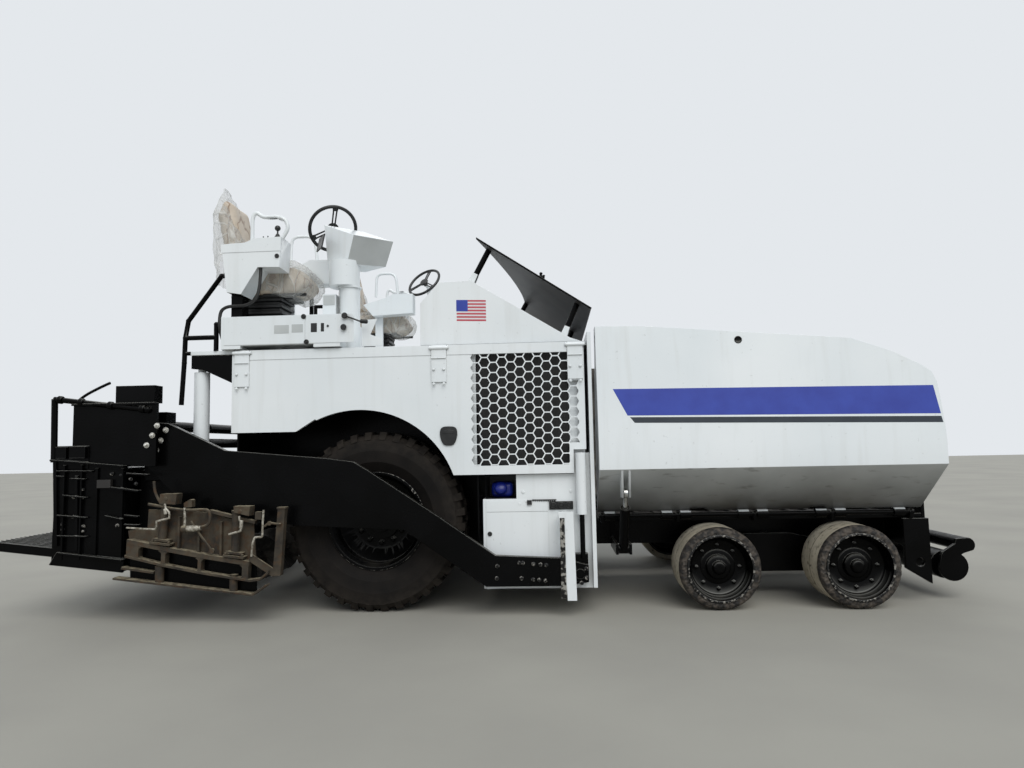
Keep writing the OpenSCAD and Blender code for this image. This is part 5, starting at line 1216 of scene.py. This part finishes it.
# Sharp creases, about 100 mm apart, drawn out along the pull of the film
pulled = add_node(film, "ShaderNodeMapping", Vector=spot, Rotation=(0.0, 0.5, 0.3),
                  Scale=(1.0, 1.0, 0.4))
crumple = add_node(film, "ShaderNodeTexVoronoi", Vector=pulled.outputs[0], Scale=13,
                   feature="DISTANCE_TO_EDGE")
fine = add_node(film, "ShaderNodeTexNoise", Vector=pulled.outputs[0], Scale=9, Detail=3.0,
                Distortion=2.5)
ridges = add_node(film, "ShaderNodeMapRange", Value=crumple.outputs["Distance"],
                  From_Max=0.07, To_Min=1.0, To_Max=0.0)
height = add_node(film, "ShaderNodeMath", operation="MULTIPLY_ADD", in0=fine.outputs["Fac"],
                  in1=2.5, in2=ridges.outputs[0])
milky = add_node(film, "ShaderNodeMapRange", Value=ridges.outputs[0], To_Min=0.30,
                 To_Max=0.62)
finish_material(film, "#d3d3cf", [], (height.outputs[0], 0.6, 0.008), Roughness=0.16,
                Alpha=milky.outputs[0])


def side_form(outline, y_near, y_far, rounding):
    """A body with the given side outline between two sides, its edges well rounded."""
    return modified(cut_plate(outline, y_near, y_far - y_near), "BEVEL", width=rounding,
                    segments=3)


def evenly_meshed(form, size):
    """Remeshes a form into even quads of about one size."""
    return modified(form, "REMESH", mode="VOXEL", voxel_size=size)


def blown_up(form, pressure, most):
    """Lets a remeshed form swell like a stuffed cover, no point by more than a set distance."""
    alone(form)
    before = [corner.co.copy() for corner in form.data.vertices]
    cover = form.modifiers.new("cover", "CLOTH")
    cover.settings.use_pressure = True
    cover.settings.uniform_pressure_force = pressure
    cover.settings.quality = 5
    cover.settings.tension_stiffness = 12
    cover.settings.effector_weights.gravity = 0
    for step in range(1, 21):
        scene.frame_set(step)
    bpy.ops.object.modifier_apply(modifier=cover.name)
    scene.frame_set(1)
    for corner, start in zip(form.data.vertices, before):
        moved = corner.co - start
        if moved.length > most:
            corner.co = start + moved.normalized() * most
    return modified(form, "SUBSURF", levels=1, render_levels=1)


# Base: a black box with a folded rubber bellows and slide rails under the cushion
box_top, pleat = 2.255, 0.026
layers = [boxed((-2.045, -1.175, 2.2105), (-1.587, -0.855, box_top))]
for row in range(6):
    inset = 0.0 if row % 2 else 0.022
    layers.append(boxed((-2.005 + inset, -1.158 + inset, box_top + pleat * row),
                        (-1.60 - inset, -0.872 - inset, box_top + pleat * (row + 1))))
layers += [boxed((-2.01, -1.165, 2.411), (-1.52, -0.865, 2.434)),
           boxed((-1.75, -1.175, 2.416), (-1.40, -1.155, 2.440))]
for piece in finish_on_stations(joined(*layers), "seat_base", *black_trim, 0.0, 180):
    round_edges(piece, 0.006, 40)

# Cushion and back, sewn vinyl over foam
voxel, swell = 0.013, 0.014
cushion = side_form([(-1.985, 2.449), (-1.47, 2.449), (-1.385, 2.505), (-1.39, 2.552),
                     (-1.48, 2.635), (-1.985, 2.618)], -1.208, -0.822, 0.045)
cushions = finish_on_stations(blown_up(evenly_meshed(cushion, voxel), 4.0, swell),
                              "seat_cushion", "seat_cover", vinyl, 0.0, 180,
                              node="seat_{}")
back = side_form([(-2.035, 2.655), (-1.90, 2.655), (-2.015, 3.20), (-2.070, 3.235),
                  (-2.120, 3.10)], -1.200, -0.830, 0.045)
backs = finish_on_stations(blown_up(evenly_meshed(back, voxel), 4.0, swell), "seat_back",
                           "seat_cover", vinyl, 0.0, 180)


def crumpled(bag, depth, mouth):
    """Opens a bag of film at its mouth and pulls it into the folds of a loose clear cover."""
    faces_cut(bag, mouth)
    for corner in bag.data.vertices:
        p = corner.co
        broad = noise.noise(p * 5.0 + Vector((3, 1, 7)))
        drawn = Vector((p.x + 0.5 * p.z, p.y, 0.35 * p.z - 0.2 * p.x))
        creases = abs(noise.noise(drawn * 13.0 + Vector((0, 0, 2.5))))
        corner.co = p + corner.normal * depth * (0.7 * broad - 0.9 * creases + 0.25)
    return bag


# Film: one bag round the cushion, bulging in front, and one over the back, tied at its top
film_voxel, crease_depth = 0.012, 0.026
bag = side_form([(-1.995, 2.445), (-1.66, 2.440), (-1.60, 2.412), (-1.51, 2.400),
                 (-1.43, 2.425), (-1.372, 2.49), (-1.362, 2.56), (-1.40, 2.635),
                 (-1.49, 2.690), (-1.60, 2.700), (-1.80, 2.662), (-1.995, 2.648)],
                -1.238, -0.792, 0.05)
bag = crumpled(evenly_meshed(bag, film_voxel), crease_depth, lambda c: c.x < -1.98
               or c.x < -1.68 and c.z < 2.452)
cushion_bags = finish_on_stations(bag, "seat_cushion_film", "seat_cover", film, 0.0, 180)
hood = side_form([(-2.105, 2.50), (-2.005, 2.50), (-2.0, 2.655), (-1.880, 2.672),
                  (-1.925, 2.86), (-1.995, 3.06), (-2.060, 3.20), (-2.105, 3.268),
                  (-2.140, 3.20), (-2.145, 2.95), (-2.125, 2.70)], -1.235, -0.795, 0.035)
hood = evenly_meshed(hood, film_voxel)
for corner in hood.data.vertices:
    gather = min(1.0, max(0.0, (corner.co.z - 3.09) / 0.178))
    corner.co.y += (-1.03 - corner.co.y) * 0.93 * gather ** 1.2
    corner.co.x += (-2.13 - corner.co.x) * 0.8 * gather ** 1.5
    corner.co.z += 0.13 * gather ** 1.6
hood = crumpled(hood, crease_depth, lambda c: c.z < 2.512 or c.z < 2.69 and c.x > -2.07)
back_bags = finish_on_stations(hood, "seat_back_film", "seat_cover", film, 0.0, 180)
